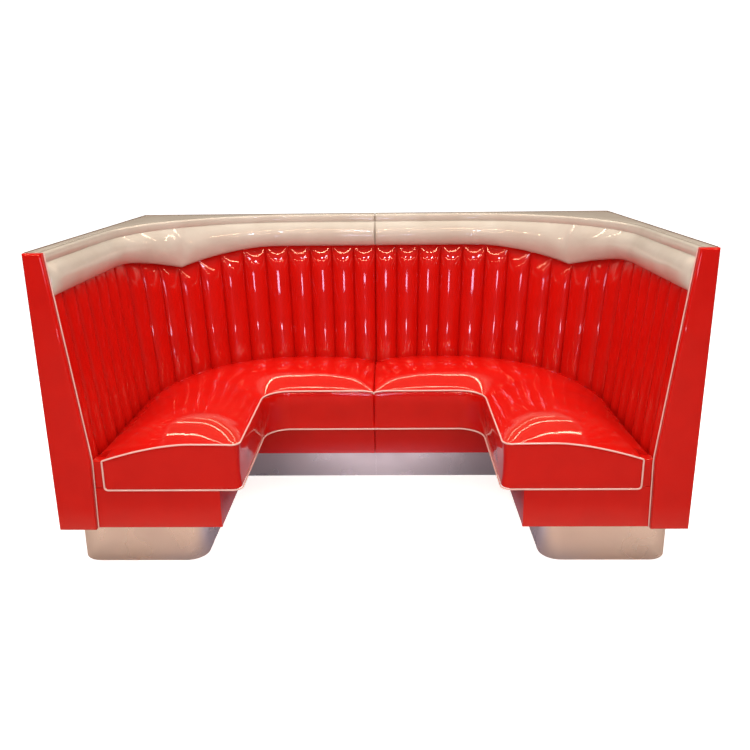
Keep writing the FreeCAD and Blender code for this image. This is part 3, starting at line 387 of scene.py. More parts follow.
# The back's curve, which most pieces follow. Widths are measured in from the outer faces; up to the
# knee the back is upright, and above it the back leans outward to its width at the top.
booth = {
    "seamX": 0.1, "kneeWidth": 126, "kneeHeight": 404, "topWidth": 58, "cornerRadius": 540,
    "curveEndY": panelY + 0.3, "rearChannels": 9, "sideChannels": 10,
}
cornerInset = booth["cornerRadius"] + booth["kneeWidth"]
cornerX = halfWidth - cornerInset
cornerY = rearY - cornerInset
channelCount = booth["rearChannels"] + booth["sideChannels"]
lean = (booth["kneeWidth"] - booth["topWidth"]) / (boothTop - booth["kneeHeight"])


def crestWidth(height):
    # Width from the outer face to the channels' crests.
    return booth["kneeWidth"] - lean * np.maximum(height - booth["kneeHeight"], 0)


def curveLength(width):
    return cornerX - booth["seamX"] + (cornerInset - width) * quarter + cornerY - booth["curveEndY"]


def onCurve(share, reference, width, height):
    # Seen from above the back is a straight rear run, a quarter circle and a straight side run. The
    # share of its length, from the middle seam forward, is measured on the curve at the reference
    # width. The point lies opposite that, at its own width in from the outer faces.
    share, reference, width, height = np.broadcast_arrays(share, reference, width, height)
    radius = cornerInset - reference
    rearRun = cornerX - booth["seamX"]
    travelled = share * curveLength(reference)
    angle = np.clip((travelled - rearRun) / radius, 0, quarter)
    before = np.maximum(rearRun - travelled, 0)
    after = np.maximum(travelled - rearRun - radius * quarter, 0)
    reach = cornerInset - width
    x = cornerX + reach * np.sin(angle) - before
    y = cornerY + reach * np.cos(angle) - after
    return at(x, y, height)


# Channelled back and head roll. Every gap, reach, depth and width is in millimetres; channels are
# counted from the middle seam.
roll = {
    "footZ": boothTop - 131, "topZ": rollBox[1][2], "dip": 58, "dipPower": 1.5, "rearReach": 400,
    "sideReach": 330, "lip": 3, "bulge": 23, "frontTopWidth": 57, "footRound": 7, "footTurn": 5,
    "endRound": 60, "endDraw": 22, "creaseDepth": 6, "creaseReach": 34, "creaseSlant": 0.18,
    "waveLength": 150, "wave": 0.9, "seamRound": 11, "seamSlot": 8, "seamEdgeShare": 0.3,
    "behindTop": 15.7, "behindFoot": 0.5, "nearSeam": [0, 0.3, 0.8, 1.6, 2.8, 4.4, 6.4, 8.8],
    "farFromSeam": 11.2, "columns": 261, "rows": 40,
}
cuspShare = booth["rearChannels"] / channelCount
footLength = curveLength(crestWidth(roll["footZ"]))


def rollEdge(share):
    # Lower edge of the head roll: level, less a dip that sharpens to a point at the corner,
    # dip x (1 - distance / reach) to the dip's power.
    distance = np.abs(share - cuspShare) * footLength
    reach = np.where(share < cuspShare, roll["rearReach"], roll["sideReach"])
    return roll["footZ"] - roll["dip"] * np.maximum(1 - distance / reach, 0) ** roll["dipPower"]


back = {
    "bottomZ": 330, "columns": 26, "topRows": 40, "lowRows": 60, "topHeight": 70, "topSpacing": 1.3,
    "channelDepth": 25.5, "domeBack": 25.5, "sideDome": 4, "sideDomeFrom": 10.5, "sideDomeOver": 3,
    "domeReach": 100, "domePower": 2.0, "roundness": 2.3, "pinch": 0.72, "topPinch": 0.38, "plump": 0.5,
    "plumpReach": 60, "waveLength": 150, "wave": 0.16, "waveReach": 80, "endGap": 0.2, "rollGap": 0.3,
    "behind": 28.3, "ledge": 27,
}


def channelFront(share, height, seed):
    # Front of the channels, as a distance in front of the crest line. Each swells from the depth of
    # its seams by (1 - |t| to the roundness) to the pinch, with t from -1 to 1 between two seams.
    # Below the roll the crest first lies back by dome x (1 - depth below the roll / reach) to the
    # dome's power, which is less on the side channels.
    channel = share * channelCount
    t = 2 * (channel - np.floor(channel)) - 1
    below = np.maximum(rollEdge(share) - height, 0)
    pinch = back["topPinch"] + (back["pinch"] - back["topPinch"]) * ease(below / back["domeReach"])
    full = (1 - np.abs(t) ** back["roundness"]) ** pinch
    toSide = ease((channel - back["sideDomeFrom"]) / back["sideDomeOver"])
    dome = back["domeBack"] + (back["sideDome"] - back["domeBack"]) * toSide
    fall = dome * (1 - np.clip(below / back["domeReach"], 0, 1)) ** back["domePower"]
    random = np.random.default_rng(seed + 40)
    plump = random.uniform(-back["plump"], back["plump"], channelCount + 1)
    plump = plump[np.minimum(channel.astype(int), channelCount)] * ease(below / back["plumpReach"])
    return (back["channelDepth"] - fall + plump) * full - back["channelDepth"]


def backGrids(first, last):
    def makeGrids(seed):
        channels = np.linspace(first, last, (last - first) * back["columns"] + 1)
        slit = back["endGap"] / curveLength(booth["kneeWidth"])
        share = np.clip(channels / channelCount, first / channelCount + slit, last / channelCount - slit)
        share = share[:, None]
        edge = rollEdge(share) - back["rollGap"]
        top = evenly(back["topRows"]) ** back["topSpacing"] * back["topHeight"]
        lowShare = evenly(back["lowRows"] + 1)[1:]
        lowStart = edge - back["topHeight"]
        lowZ = lowStart + (back["bottomZ"] - lowStart) * lowShare
        height = join(edge - top, lowZ, axis=1)
        shares = share + 0 * height
        front = channelFront(shares, height, seed)
        flat = onCurve(shares, crestWidth(height), crestWidth(height), height)
        wave = uneven(flat, back, seed + 3)
        front = front + wave * ease((edge - height) / back["waveReach"])
        skin = onCurve(shares, crestWidth(height), crestWidth(height) + front, height)

        def backPoint(behind, z):
            return onCurve(share[:, 0], crestWidth(z), crestWidth(z) - behind, z)[:, None]

        rest = [
            backPoint(back["behind"], back["bottomZ"]),
            backPoint(back["behind"], roll["topZ"]),
            backPoint(back["ledge"], roll["topZ"]),
            backPoint(back["ledge"], edge[:, 0]),
        ]
        return [closeRound(np.concatenate([skin] + rest, axis=1))]
    return makeGrids


rearChannels = booth["rearChannels"]
rearBacks = addPair("RearBack", backGrids(0, rearChannels), redVinyl, ["rear_back_pad"], 60)
sideBacks = addPair("SideBack", backGrids(rearChannels, channelCount), redVinyl,
                    ["side_back_pad"], 60)


def arcThrough(firstX, firstZ, middleX, middleZ, lastX, lastZ, share):
    # Points at even angles on the circle through three points, worked out for whole arrays.
    ax, az = middleX - firstX, middleZ - firstZ
    bx, bz = lastX - firstX, lastZ - firstZ
    area = 2 * (ax * bz - az * bx)
    centreX = (bz * (ax ** 2 + az ** 2) - az * (bx ** 2 + bz ** 2)) / area
    centreZ = (ax * (bx ** 2 + bz ** 2) - bx * (ax ** 2 + az ** 2)) / area
    radius = np.hypot(centreX, centreZ)
    start = np.arctan2(-centreZ, -centreX)
    turn = np.arctan2(bz - centreZ, bx - centreX) - start
    middleTurn = np.arctan2(az - centreZ, ax - centreX) - start
    turn = (turn + math.pi) % (2 * math.pi) - math.pi
    middleTurn = (middleTurn + math.pi) % (2 * math.pi) - math.pi
    turn = np.where(turn * middleTurn < 0, turn - np.sign(turn) * 2 * math.pi, turn)
    angle = start + turn * share
    return firstX + centreX + radius * np.cos(angle), firstZ + centreZ + radius * np.sin(angle)


def sharesFromSeam(near, far, count):
    # Shares of the curve's length: some near the middle seam, then evenly from far to the end.
    return join(np.array(near) / footLength, np.linspace(far / footLength, 1, count))[:, None]


def rollGrids(seed):
    # The roll's front is the arc through its foot, a middle that stands out by the bulge, and the
    # bead. The foot is turned under, the end draws in by a quarter circle, and at the corner a
    # crease exp(-(distance / reach) squared) deep runs up and slants rearward.
    reference = crestWidth(roll["footZ"])
    share = sharesFromSeam(roll["nearSeam"], roll["farFromSeam"], roll["columns"])
    foot = rollEdge(share)
    middle = (foot + roll["topZ"]) / 2
    across = evenly(roll["rows"])
    width, height = arcThrough(crestWidth(foot) + roll["lip"], foot, crestWidth(middle) + roll["bulge"],
                               middle, roll["frontTopWidth"], roll["topZ"], across)
    width = width - roll["footTurn"] * np.exp(-((height - foot) / roll["footRound"])) ** 2
    flat = onCurve(share, reference, width, height)
    pastEnd = np.clip(1 - (1 - share) * footLength / roll["endRound"], 0, 1)
    endSunk = roll["endDraw"] * (1 - np.sqrt(1 - 0.96 * pastEnd ** 2))
    soft = np.sin(across * math.pi)
    width = width - endSunk * soft ** 0.5
    fromCusp = (share - cuspShare) * footLength + (height - foot) * roll["creaseSlant"]
    crease = roll["creaseDepth"] * np.exp(-(fromCusp / roll["creaseReach"]) ** 2)
    width = width + (uneven(flat, roll, seed + 11) - crease) * soft
    groove = seamGroove(share * footLength, roll["seamRound"], roll["seamSlot"], 8)
    width = width - groove * (roll["seamEdgeShare"] + (1 - roll["seamEdgeShare"]) * soft)
    front = onCurve(share, reference, width, height)
    rest = [
        onCurve(share, reference, crestWidth(roll["topZ"]) - roll["behindTop"], roll["topZ"]),
        onCurve(share, reference, crestWidth(foot) - back["ledge"] + roll["behindFoot"], foot),
    ]
    return [closeRound(np.concatenate([front] + rest, axis=1))]


headRolls = addPair("HeadRoll", rollGrids, creamVinyl, ["head_roll"], 50)

bead = {
    "outer": 34.3, "inner": 57, "bottomZ": boothTop - 30, "round": 9, "puff": 1.5, "puffShare": 0.9,
    "outerSlope": 4, "outerDrop": 1.5, "waveLength": 120, "wave": 0.4, "seamRound": 7, "seamSlot": 6,
    "nearSeam": [0, 0.4, 1, 2, 3.4, 5], "columns": 221,
}


def beadGrids(seed):
    # An upright strip with a rounded top inner edge, carried along the back. Its inner face is
    # puffed out a little between the crease below it and the round.
    share = sharesFromSeam(bead["nearSeam"], bead["seamRound"], bead["columns"])
    turn = np.linspace(0, quarter, 9)
    rise = evenly(6)
    faceTop = boothTop - bead["round"]
    width = join(
        bead["inner"] + bead["puff"] * np.sin(rise * math.pi * bead["puffShare"]),
        bead["inner"] - bead["round"] * (1 - np.cos(turn)),
        [bead["outer"] + bead["outerSlope"], bead["outer"], bead["outer"]],
    )
    height = join(
        bead["bottomZ"] + (faceTop - bead["bottomZ"]) * rise,
        faceTop + bead["round"] * np.sin(turn),
        [boothTop, boothTop - bead["outerDrop"], bead["bottomZ"]],
    )
    reference = crestWidth(roll["footZ"])
    flat = onCurve(share, reference, width, height)
    groove = seamGroove(share * footLength, bead["seamRound"], bead["seamSlot"], 6)
    width = width - groove * (width > bead["outer"] + 2 * bead["outerSlope"])
    width = width + uneven(flat, bead, seed + 17)
    return [closeRound(onCurve(share, reference, width, height))]


addPair("CapBead", beadGrids, creamVinyl, ["cap_bead"], 50)

cap = {
    "inner": 34, "bottomZ": capBox[0][2], "round": 5, "pad": 1.2, "padPower": 0.7, "innerDrop": 1.5,
    "seamRound": 4, "seamSlot": 6, "nearSeam": [0, 0.4, 1, 2, 3], "rearColumns": 29,
    "cornerColumns": 61, "sideColumns": 20, "rows": 9,
}


def capGrids(seed):
    # The flat cap: its inner edge follows the back's curve and its outer edge the square corner. A
    # point at share s across lies between the two, and the outer edge is rounded over.
    rear, corner, side = cap["rearColumns"], cap["cornerColumns"], cap["sideColumns"]
    angles = join(np.zeros(rear), np.linspace(0, quarter, corner), np.full(side, quarter))
    nearSeam = booth["seamX"] + np.array(cap["nearSeam"])
    evenX = np.linspace(booth["seamX"] + cap["seamRound"], cornerX, rear - len(nearSeam) + 1)[:-1]
    sideY = np.linspace(cornerY, panelY, side + 1)[1:]
    alongX = join(nearSeam, evenX, np.full(corner + side, cornerX))
    alongY = join(np.full(rear + corner, cornerY), sideY)
    base = at(alongX, alongY)
    way = at(np.sin(angles), np.cos(angles))
    innerEdge = base + way * (cornerInset - cap["inner"])
    outerEdge = base + way * cornerInset / np.maximum(way[:, :1], way[:, 1:])
    turn = np.linspace(0, quarter, 6)
    top = boothTop
    across = evenly(cap["rows"])
    share = join([0, 0], across, np.ones(6), [1])
    profileZ = join([cap["bottomZ"], top - cap["innerDrop"]],
                    top + cap["pad"] * np.sin(across * math.pi) ** cap["padPower"],
                    top - cap["round"] * (1 - np.cos(turn)), [cap["bottomZ"]])
    inset = join([0, 0], cap["round"] * across, cap["round"] * (1 - np.sin(turn)), [0])
    crossing = (outerEdge - innerEdge)[:, None]
    length = np.linalg.norm(crossing, axis=2, keepdims=True)
    plan = innerEdge[:, None] + crossing * share[:, None] - crossing / length * inset[:, None]
    sunk = seamGroove(plan[..., :1] - booth["seamX"], cap["seamRound"], cap["seamSlot"], 4)
    onTop = profileZ > top - 2 * cap["innerDrop"]
    height = profileZ[:, None] - sunk * onTop[:, None]
    return [closeRound(join(plan, height, axis=-1))]


addPair("TopCap", capGrids, creamVinyl, ["top_cap"], 40)

# Seat cushions: an arm along the side, a bay corner, and the rear seat to the middle seam. Powers,
# shares and counts aside, all values are millimetres.
cushion = {
    "innerX": 416, "backGap": 0.6, "cornerX": halfWidth - 164, "frontY": 9, "stepY": 58.6,
    "rearFrontY": 555, "bayRadius": 100, "bottomZ": 310.3, "weltZ": 460, "cornerZ": 407, "sideZ": 404,
    "rearZ": 430, "crown": 42, "rearCrown": 47, "frontCrown": 1.5, "frontRoll": 220, "seamCrown": 19,
    "seamRoll": 260, "crestShare": 0.42, "frontCrest": 0.33, "frontFall": 1.65, "fall": 2.1,
    "crownPower": 2.2, "crownLift": 0.8, "seamDip": 4, "dipReach": 45, "seamRound": 10, "sideDraw": 4,
    "drawPower": 0.7, "shoulder": 10, "shoulderHeight": 50, "shoulderReach": 150, "shoulderFoot": 0.8,
    "planRound": 26, "edgeRound": 3, "outerRound": 26, "frontRound": 12, "leastRound": 5,
    "frontReach": 30, "frontPuff": 3, "frontPuffPower": 0.6, "frontCentre": 0.03,
    "nearFront": [0, 0.8, 2, 3.8, 6, 9, 12.5, 16.5, 21, 27, 34, 41],
    "nearSeamShares": [0.8, 0.6, 0.42, 0.27, 0.15, 0.06, 0], "armStations": 52, "bayStations": 41,
    "rearStations": 31, "profilePoints": 401, "profileSpacing": 1.6, "topColumns": 66,
    "edgeCrowding": 0.4, "wallRows": 22, "wallSpacing": 1.8,
}
seatBackX = halfWidth - booth["kneeWidth"] - cushion["backGap"]
seatBackY = rearY - booth["kneeWidth"] - cushion["backGap"]
bayX = cushion["innerX"] - cushion["bayRadius"]
bayY = cushion["rearFrontY"] - cushion["bayRadius"]
armCount = len(cushion["nearFront"]) + cushion["armStations"] + 1


def risen(share):
    # Rises steeply, then levels off: 1 - (1 - s) to the crown power, all to the crown lift.
    return (1 - (1 - np.clip(share, 0, 1)) ** cushion["crownPower"]) ** cushion["crownLift"]


def cushionStations():
    # Sections of the cushion from the front of the arm, round the corner, to the middle seam. Each
    # is a row: inner x and y, outer x and y, height of the outer edge, crown, lowering, front blend,
    # and 1 where the outer strip beside the filler is missing.
    near = cushion["frontY"] + np.array(cushion["nearFront"])
    arm = join(near, [cushion["stepY"]], np.linspace(cushion["stepY"], bayY, cushion["armStations"]))
    past = np.maximum(cushion["planRound"] - (arm - cushion["frontY"]), 0)
    roundIn = cushion["planRound"] - np.sqrt(cushion["planRound"] ** 2 - past ** 2)
    growth = risen((arm - cushion["frontY"]) / cushion["frontRoll"])
    crown = cushion["frontCrown"] + (cushion["crown"] - cushion["frontCrown"]) * growth
    narrow = np.zeros(len(arm))
    narrow[:len(near) + 1] = 1
    armRows = at(cushion["innerX"] + roundIn, arm, seatBackX, arm, cushion["sideZ"],
                 crown, 0, growth, narrow)
    share = evenly(cushion["bayStations"])[1:]
    angle = share * quarter
    radius = cornerInset - booth["kneeWidth"] - cushion["backGap"]
    sideRun = cornerY - bayY
    roundRun = radius * quarter
    rearRun = cornerX - bayX
    travelled = share * (sideRun + roundRun + rearRun)
    swept = np.clip((travelled - sideRun) / radius, 0, quarter)
    outerX = cornerX + radius * np.cos(swept) - np.maximum(travelled - sideRun - roundRun, 0)
    outerY = cornerY + radius * np.sin(swept) - np.maximum(sideRun - travelled, 0)
    sideZ = cushion["sideZ"] + (cushion["rearZ"] - cushion["sideZ"]) * share
    crown = cushion["crown"] + (cushion["rearCrown"] - cushion["crown"]) * ease(share)
    bayRows = at(bayX + cushion["bayRadius"] * np.cos(angle), bayY + cushion["bayRadius"] * np.sin(angle),
                 outerX, outerY, sideZ, crown, 0, 1, 0)
    nearSeam = booth["seamX"] + cushion["seamRound"] * np.array(cushion["nearSeamShares"])
    rearX = bayX + (booth["seamX"] + cushion["seamRound"] - bayX) * evenly(cushion["rearStations"])[1:]
    x = join(rearX, nearSeam)
    fromSeam = x - booth["seamX"]
    dip = cushion["seamDip"] * (1 - ease(fromSeam / cushion["dipReach"]))
    dip = dip + seamGroove(fromSeam, cushion["seamRound"])
    growth = risen(fromSeam / cushion["seamRoll"])
    crown = cushion["seamCrown"] + (cushion["rearCrown"] - cushion["seamCrown"]) * growth
    rearRows = at(x, cushion["rearFrontY"], x, seatBackY, cushion["rearZ"], crown, dip, 1, 0)
    return join(armRows, bayRows, rearRows)


def curvedCorner(before, corner, after, count):
    # A quadratic curve from one point to another that is pulled to the corner between them.
    t = evenly(count)[:, None]
    return (1 - t) ** 2 * before + 2 * t * (1 - t) * corner + t ** 2 * after


def cushionSections():
    # The top of each section: it rises from the welt to its crest, then falls to the outer edge by
    # (distance past the crest / its reach) to a power. Near the front it blends into the flatter
    # line of the front edge.
    rows = cushionStations()
    inner, outer = rows[:, 0:2], rows[:, 2:4]
    sideZ, crown, dip, blend, narrow = rows[:, 4:5], rows[:, 5:6], rows[:, 6:7], rows[:, 7:8], rows[:, 8:9]
    length = np.linalg.norm(outer - inner, axis=1)[:, None]
    foreLength = cushion["cornerX"] - inner[:, :1]
    spacing = evenly(cushion["profilePoints"]) ** cushion["profileSpacing"]
    topX = np.where(narrow > 0, foreLength, length) * spacing

    def fallen(width, crestShare, power):
        crest = width * crestShare
        return np.clip((topX - crest) / (width - crest), 0, 1) ** power

    weltZ = cushion["weltZ"]
    past = fallen(length, cushion["crestShare"], cushion["fall"])
    seatDrop = (weltZ + cushion["crown"] - sideZ) * past
    foreDrop = weltZ + cushion["frontCrown"] - cushion["cornerZ"]
    foreDrop = foreDrop * fallen(foreLength, cushion["frontCrest"], cushion["frontFall"])
    rearDrop = (weltZ + crown - sideZ) * past
    drop = np.where(blend < 1, foreDrop * (1 - blend) + seatDrop * blend, rearDrop)
    topZ = weltZ + crown * risen(topX / (length * cushion["crestShare"])) - drop - dip
    return inner, outer, length, topX, topZ, dip, rows


def cushionGrids(seed):
    # Each section is a loop in its own plane, across from the inner edge and up: the inner wall, the
    # crowned top, the upright outer wall and the flat bottom, with rounded corners between them.
    inner, outer, length, topX, topZ, _, rows = cushionSections()
    way = (outer - inner) / length
    bottomZ = cushion["bottomZ"] + 0 * length
    edge = topX[:, -1:]
    station = np.arange(len(rows))[:, None]
    fromFront = rows[:, 1:2] - cushion["frontY"]
    frontness = (1 - ease(fromFront / cushion["frontReach"])) * (station < armCount)
    growth = np.where(station < armCount, risen(fromFront / cushion["frontRoll"]), 1)
    least = cushion["leastRound"]
    cornerCut = least + (cushion["outerRound"] - least) * growth + (cushion["frontRound"] - least) * frontness
    small = cushion["edgeRound"] + 0 * length

    # The inner wall is drawn in between its edges and stands out in a quarter ellipse below its top.
    wallTop = topZ[:, :1]
    wallRise = 1 - (1 - evenly(cushion["wallRows"])) ** cushion["wallSpacing"]
    innerZ = bottomZ + small + (wallTop - small - bottomZ - small) * wallRise
    drawn = cushion["sideDraw"] + seamGroove(inner[:, :1] - booth["seamX"], cushion["seamRound"])
    toTop = np.clip(1 - (wallTop - small - innerZ) / cushion["shoulderHeight"], 0, 1)
    stand = cushion["shoulder"] * np.sqrt(1 - toTop ** 2) * ease(wallRise / cushion["shoulderFoot"])
    innerX = drawn * np.sin(wallRise * math.pi) ** cushion["drawPower"]
    innerX = innerX - stand * ease(fromFront / cushion["shoulderReach"])
    innerWall = at(innerX, innerZ)

    def topAt(across):
        return np.stack([np.interp(place, x, z) for place, x, z in zip(across, topX, topZ)])

    topInnerCorner = curvedCorner(innerWall[:, -1:], at(0, wallTop), at(small, topAt(small)), 6)
    spread = evenly(cushion["topColumns"])
    spread = spread * (1 - cushion["edgeCrowding"]) + ease(spread) * cushion["edgeCrowding"]
    cutX, cutZ = edge - cornerCut, topZ[:, -1:] - cornerCut
    across = small + (cutX - small) * spread
    top = at(across, topAt(across))
    topOuterCorner = curvedCorner(top[:, -1:], at(edge, topZ[:, -1:]), at(edge, cutZ), 7)
    outerWall = at(edge, cutZ + (bottomZ + cornerCut - cutZ) * evenly(14))
    bottomOuterCorner = curvedCorner(outerWall[:, -1:], at(edge, bottomZ), at(cutX, bottomZ), 7)
    bottom = at(cutX + (small - cutX) * evenly(30), bottomZ)
    bottomInnerCorner = curvedCorner(bottom[:, -1:], at(0, bottomZ), innerWall[:, :1], 6)
    loop = join(innerWall, topInnerCorner, top, topOuterCorner, outerWall,
                bottomOuterCorner, bottom, bottomInnerCorner, axis=1)
    plan = inner[:, None] + way[:, None] * loop[..., :1]
    grid = join(plan, loop[..., 1:], axis=-1)
    return [closeRound(grid), frontFace(grid[0])]


def frontFace(loop):
    # Rings that shrink from the front outline to its middle, standing out in a shallow dome.
    middle = loop.mean(axis=0)
    shrink = np.linspace(1, cushion["frontCentre"], 14)[:, None, None]
    rings = middle + (loop[None] - middle) * shrink
    dome = (1 - shrink[..., 0] ** 2) ** cushion["frontPuffPower"]
    rings[..., 1] = cushion["frontY"] - cushion["frontPuff"] * dome
    return closeRound(rings)


# The cover's cloth, in metres. Vertices that face up less than heldFacing or lie below heldBelow are
# held; the rise counts where they face up more than countedFacing.
cloth = {
    "voxel": 0.008, "heldFacing": 0.72, "heldBelow": 0.395, "countedFacing": 0.3, "quality": 4,
    "mass": 0.3, "bending": 2.0, "pressure": 4.0, "fullness": 0.006, "frames": 20, "cell": 0.008,
    "cap": 0.005, "smoothing": 9, "topFacing": 0.35, "topBlend": 0.3, "frontFade": 0.15,
}


def vertexValues(mesh, collection, name):
    values = np.zeros(len(mesh.vertices) * 3)
    getattr(mesh, collection).foreach_get(name, values)
    return values.reshape(-1, 3)


def evaluated(piece):
    return bpy.data.meshes.new_from_object(piece.evaluated_get(bpy.context.evaluated_depsgraph_get()))


def splineWeights(part):
    # Shares of four neighbouring cells in a cubic B-spline, which bends without kinks.
    rest = 1 - part
    inner = (4 - 6 * part ** 2 + 3 * part ** 3) / 6
    outer = (4 - 6 * rest ** 2 + 3 * rest ** 3) / 6
    return [rest ** 3 / 6, inner, outer, part ** 3 / 6]


def settleCover(piece):
    # The cover stretched over its foam: a remeshed copy of the cushion is blown up a little as
    # cloth, with its sides and seams held. How far its top rises is capped, gathered on a square
    # grid seen from above, smoothed, and added to the cushion's own top.
    work = bpy.data.objects.new("settling", piece.data.copy())
    scene.collection.objects.link(work)
    remesh = work.modifiers.new("remesh", "REMESH")
    remesh.mode = "VOXEL"
    remesh.voxel_size = cloth["voxel"]
    remeshed = evaluated(work)
    work.modifiers.clear()
    work.data = remeshed
    start = vertexValues(remeshed, "vertices", "co")
    facing = vertexValues(remeshed, "vertex_normals", "vector")[:, 2]
    held = (facing < cloth["heldFacing"]) | (start[:, 2] < cloth["heldBelow"])
    group = work.vertex_groups.new(name="held")
    group.add(np.flatnonzero(held).tolist(), 1.0, "REPLACE")
    cover = work.modifiers.new("cover", "CLOTH")
    cover.settings.quality = cloth["quality"]
    cover.settings.mass = cloth["mass"]
    cover.settings.bending_stiffness = cloth["bending"]
    cover.settings.vertex_group_mass = "held"
    cover.settings.use_pressure = True
    cover.settings.uniform_pressure_force = cloth["pressure"]
    cover.settings.shrink_min = -cloth["fullness"]
    cover.settings.effector_weights.gravity = 0
    cover.collision_settings.use_collision = False
    for step in range(1, cloth["frames"] + 1):
        scene.frame_set(step)
    rise = vertexValues(evaluated(work), "vertices", "co")[:, 2] - start[:, 2]
    scene.frame_set(1)
    bpy.data.objects.remove(work)
    top = ~held | (facing > cloth["countedFacing"])
    print("cover rose by", round(float(rise[~held].min() * 1000), 1), "to",
          round(float(rise[~held].max() * 1000), 1), "mm")
    rise = np.clip(rise, -cloth["cap"], cloth["cap"])
    low = start[:, :2].min(axis=0) - 4 * cloth["cell"]
    size = np.ceil((start[:, :2].max(axis=0) - low) / cloth["cell"]).astype(int) + 5
    where = ((start[top, :2] - low) / cloth["cell"]).astype(int)
    total = np.zeros(size)
    weight = np.zeros(size)
    np.add.at(total, (where[:, 0], where[:, 1]), rise[top])
    np.add.at(weight, (where[:, 0], where[:, 1]), 1.0)
    for axis in [0, 1] * cloth["smoothing"]:
        total = (np.roll(total, 1, axis) + 2 * total + np.roll(total, -1, axis)) / 4
        weight = (np.roll(weight, 1, axis) + 2 * weight + np.roll(weight, -1, axis)) / 4
    field = total / np.maximum(weight, 1e-3)
    mesh = piece.data
    points = vertexValues(mesh, "vertices", "co")
    upward = vertexValues(mesh, "vertex_normals", "vector")[:, 2]
    place = (points[:, :2] - low) / cloth["cell"] - 0.5
    cell = np.floor(place).astype(int)
    weights = splineWeights(place - cell)
    lift = sum(weights[a][:, 0] * weights[b][:, 1] * field[cell[:, 0] + a - 1, cell[:, 1] + b - 1]
               for a in range(4) for b in range(4))
    onTop = ease((upward - cloth["topFacing"]) / cloth["topBlend"]) * (points[:, 2] > cloth["heldBelow"])
    onTop *= ease((points[:, 1] - points[:, 1].min()) / cloth["frontFade"])
    points[:, 2] += lift * onTop
    mesh.vertices.foreach_set("co", points.ravel())
    mesh.update()


cushions = addPair("SeatCushion", cushionGrids, redVinyl, ["seat_cushion"], 50)
for piece in cushions:
    settleCover(piece)

welt = {"seatDiameter": 5.6, "panelDiameter": 4.4, "gap": 0.3, "overLift": 0.9, "overInset": 6,
        "overRun": 4, "upperBend": 5, "lowerBend": 13, "lowerRun": 2, "panelBend": 22,
        "panelFootWidth": 120}


def seatWeltGrids(seed):
    # From the middle seam along the cushion's upper edge, round the bay and the front corner, over
    # the front outline, and back along the lower edge. Beside an edge the cord's centre lies clear
    # of it on the diagonal.
    inner, outer, length, topX, topZ, dip, rows = cushionSections()
    clear = welt["seatDiameter"] / 2 + welt["gap"]
    beside = clear * math.sqrt(0.5)
    outward = (outer - inner)[::-1] / length[::-1]
    upperPath = join(inner[::-1] - outward * beside, cushion["weltZ"] + beside - dip[::-1], axis=1)
    upperPath = upperPath[inner[::-1, 1] > cushion["frontY"] + cushion["planRound"]]
    bend = np.linspace(0, quarter, 9)[1:]
    reach = cushion["planRound"] + beside
    cornerStart = cushion["innerX"] + cushion["planRound"]
    bendX = cornerStart - reach * np.cos(bend)
    bendY = cushion["frontY"] + cushion["planRound"] - (reach + clear - beside) * np.sin(bend)
    upperBend = at(bendX, bendY, cushion["weltZ"] + beside)
    frontY = cushion["frontY"] - clear
    first = np.argmax(rows[:, 1] >= cushion["frontY"])
    over = evenly(40)[1:] * (topX[first, -1] - welt["overInset"])
    overZ = np.interp(over, topX[first], topZ[first]) + clear * welt["overLift"]
    overPath = at(rows[first, 0] + over, frontY, overZ)
    overPath = overPath[overPath[:, 0] > cornerStart + welt["overRun"]]
    outerX = cushion["cornerX"] + beside
    bottomZ = cushion["bottomZ"] - beside
    drop = bendPath([overPath[-1], (outerX, frontY, cushion["cornerZ"] + beside), (outerX, frontY, bottomZ),
                     (cornerStart + welt["lowerRun"], frontY, bottomZ)],
                    [welt["upperBend"], welt["lowerBend"]])[1:]
    lowerBend = at(bendX, bendY, bottomZ)[::-1]
    lowerPath = upperPath[::-1].copy()
    lowerPath[:, 2] = bottomZ
    path = join(upperPath, upperBend, overPath, drop, lowerBend, lowerPath)
    gaps = np.linalg.norm(np.diff(path, axis=0), axis=1)
    path = path[join([True], gaps > 0.5)]
    return [tube(path, welt["seatDiameter"] / 2)]


def panelWeltGrids(seed):
    # Down the inner edge of the end panel, bent once at the knee.
    radius = welt["panelDiameter"] / 2
    clear = radius + welt["gap"]
    y = panelY - clear
    topZ = boothTop - clear
    outer = halfWidth - clear
    corners = [(crestWidth(topZ), topZ), (booth["kneeWidth"], booth["kneeHeight"]),
               (welt["panelFootWidth"], panelBox[0][2])]
    path = bendPath([(outer - width, y, z) for width, z in corners], [welt["panelBend"]], 12)
    return [tube(path, radius)]


addPair("SeatWelt", seatWeltGrids, weltVinyl, ["seat_welt"], 60)
addPair("PanelWelt", panelWeltGrids, weltVinyl, ["end_panel_welt"], 60)

wrap = {"border": 3.2, "puffPower": 0.5}


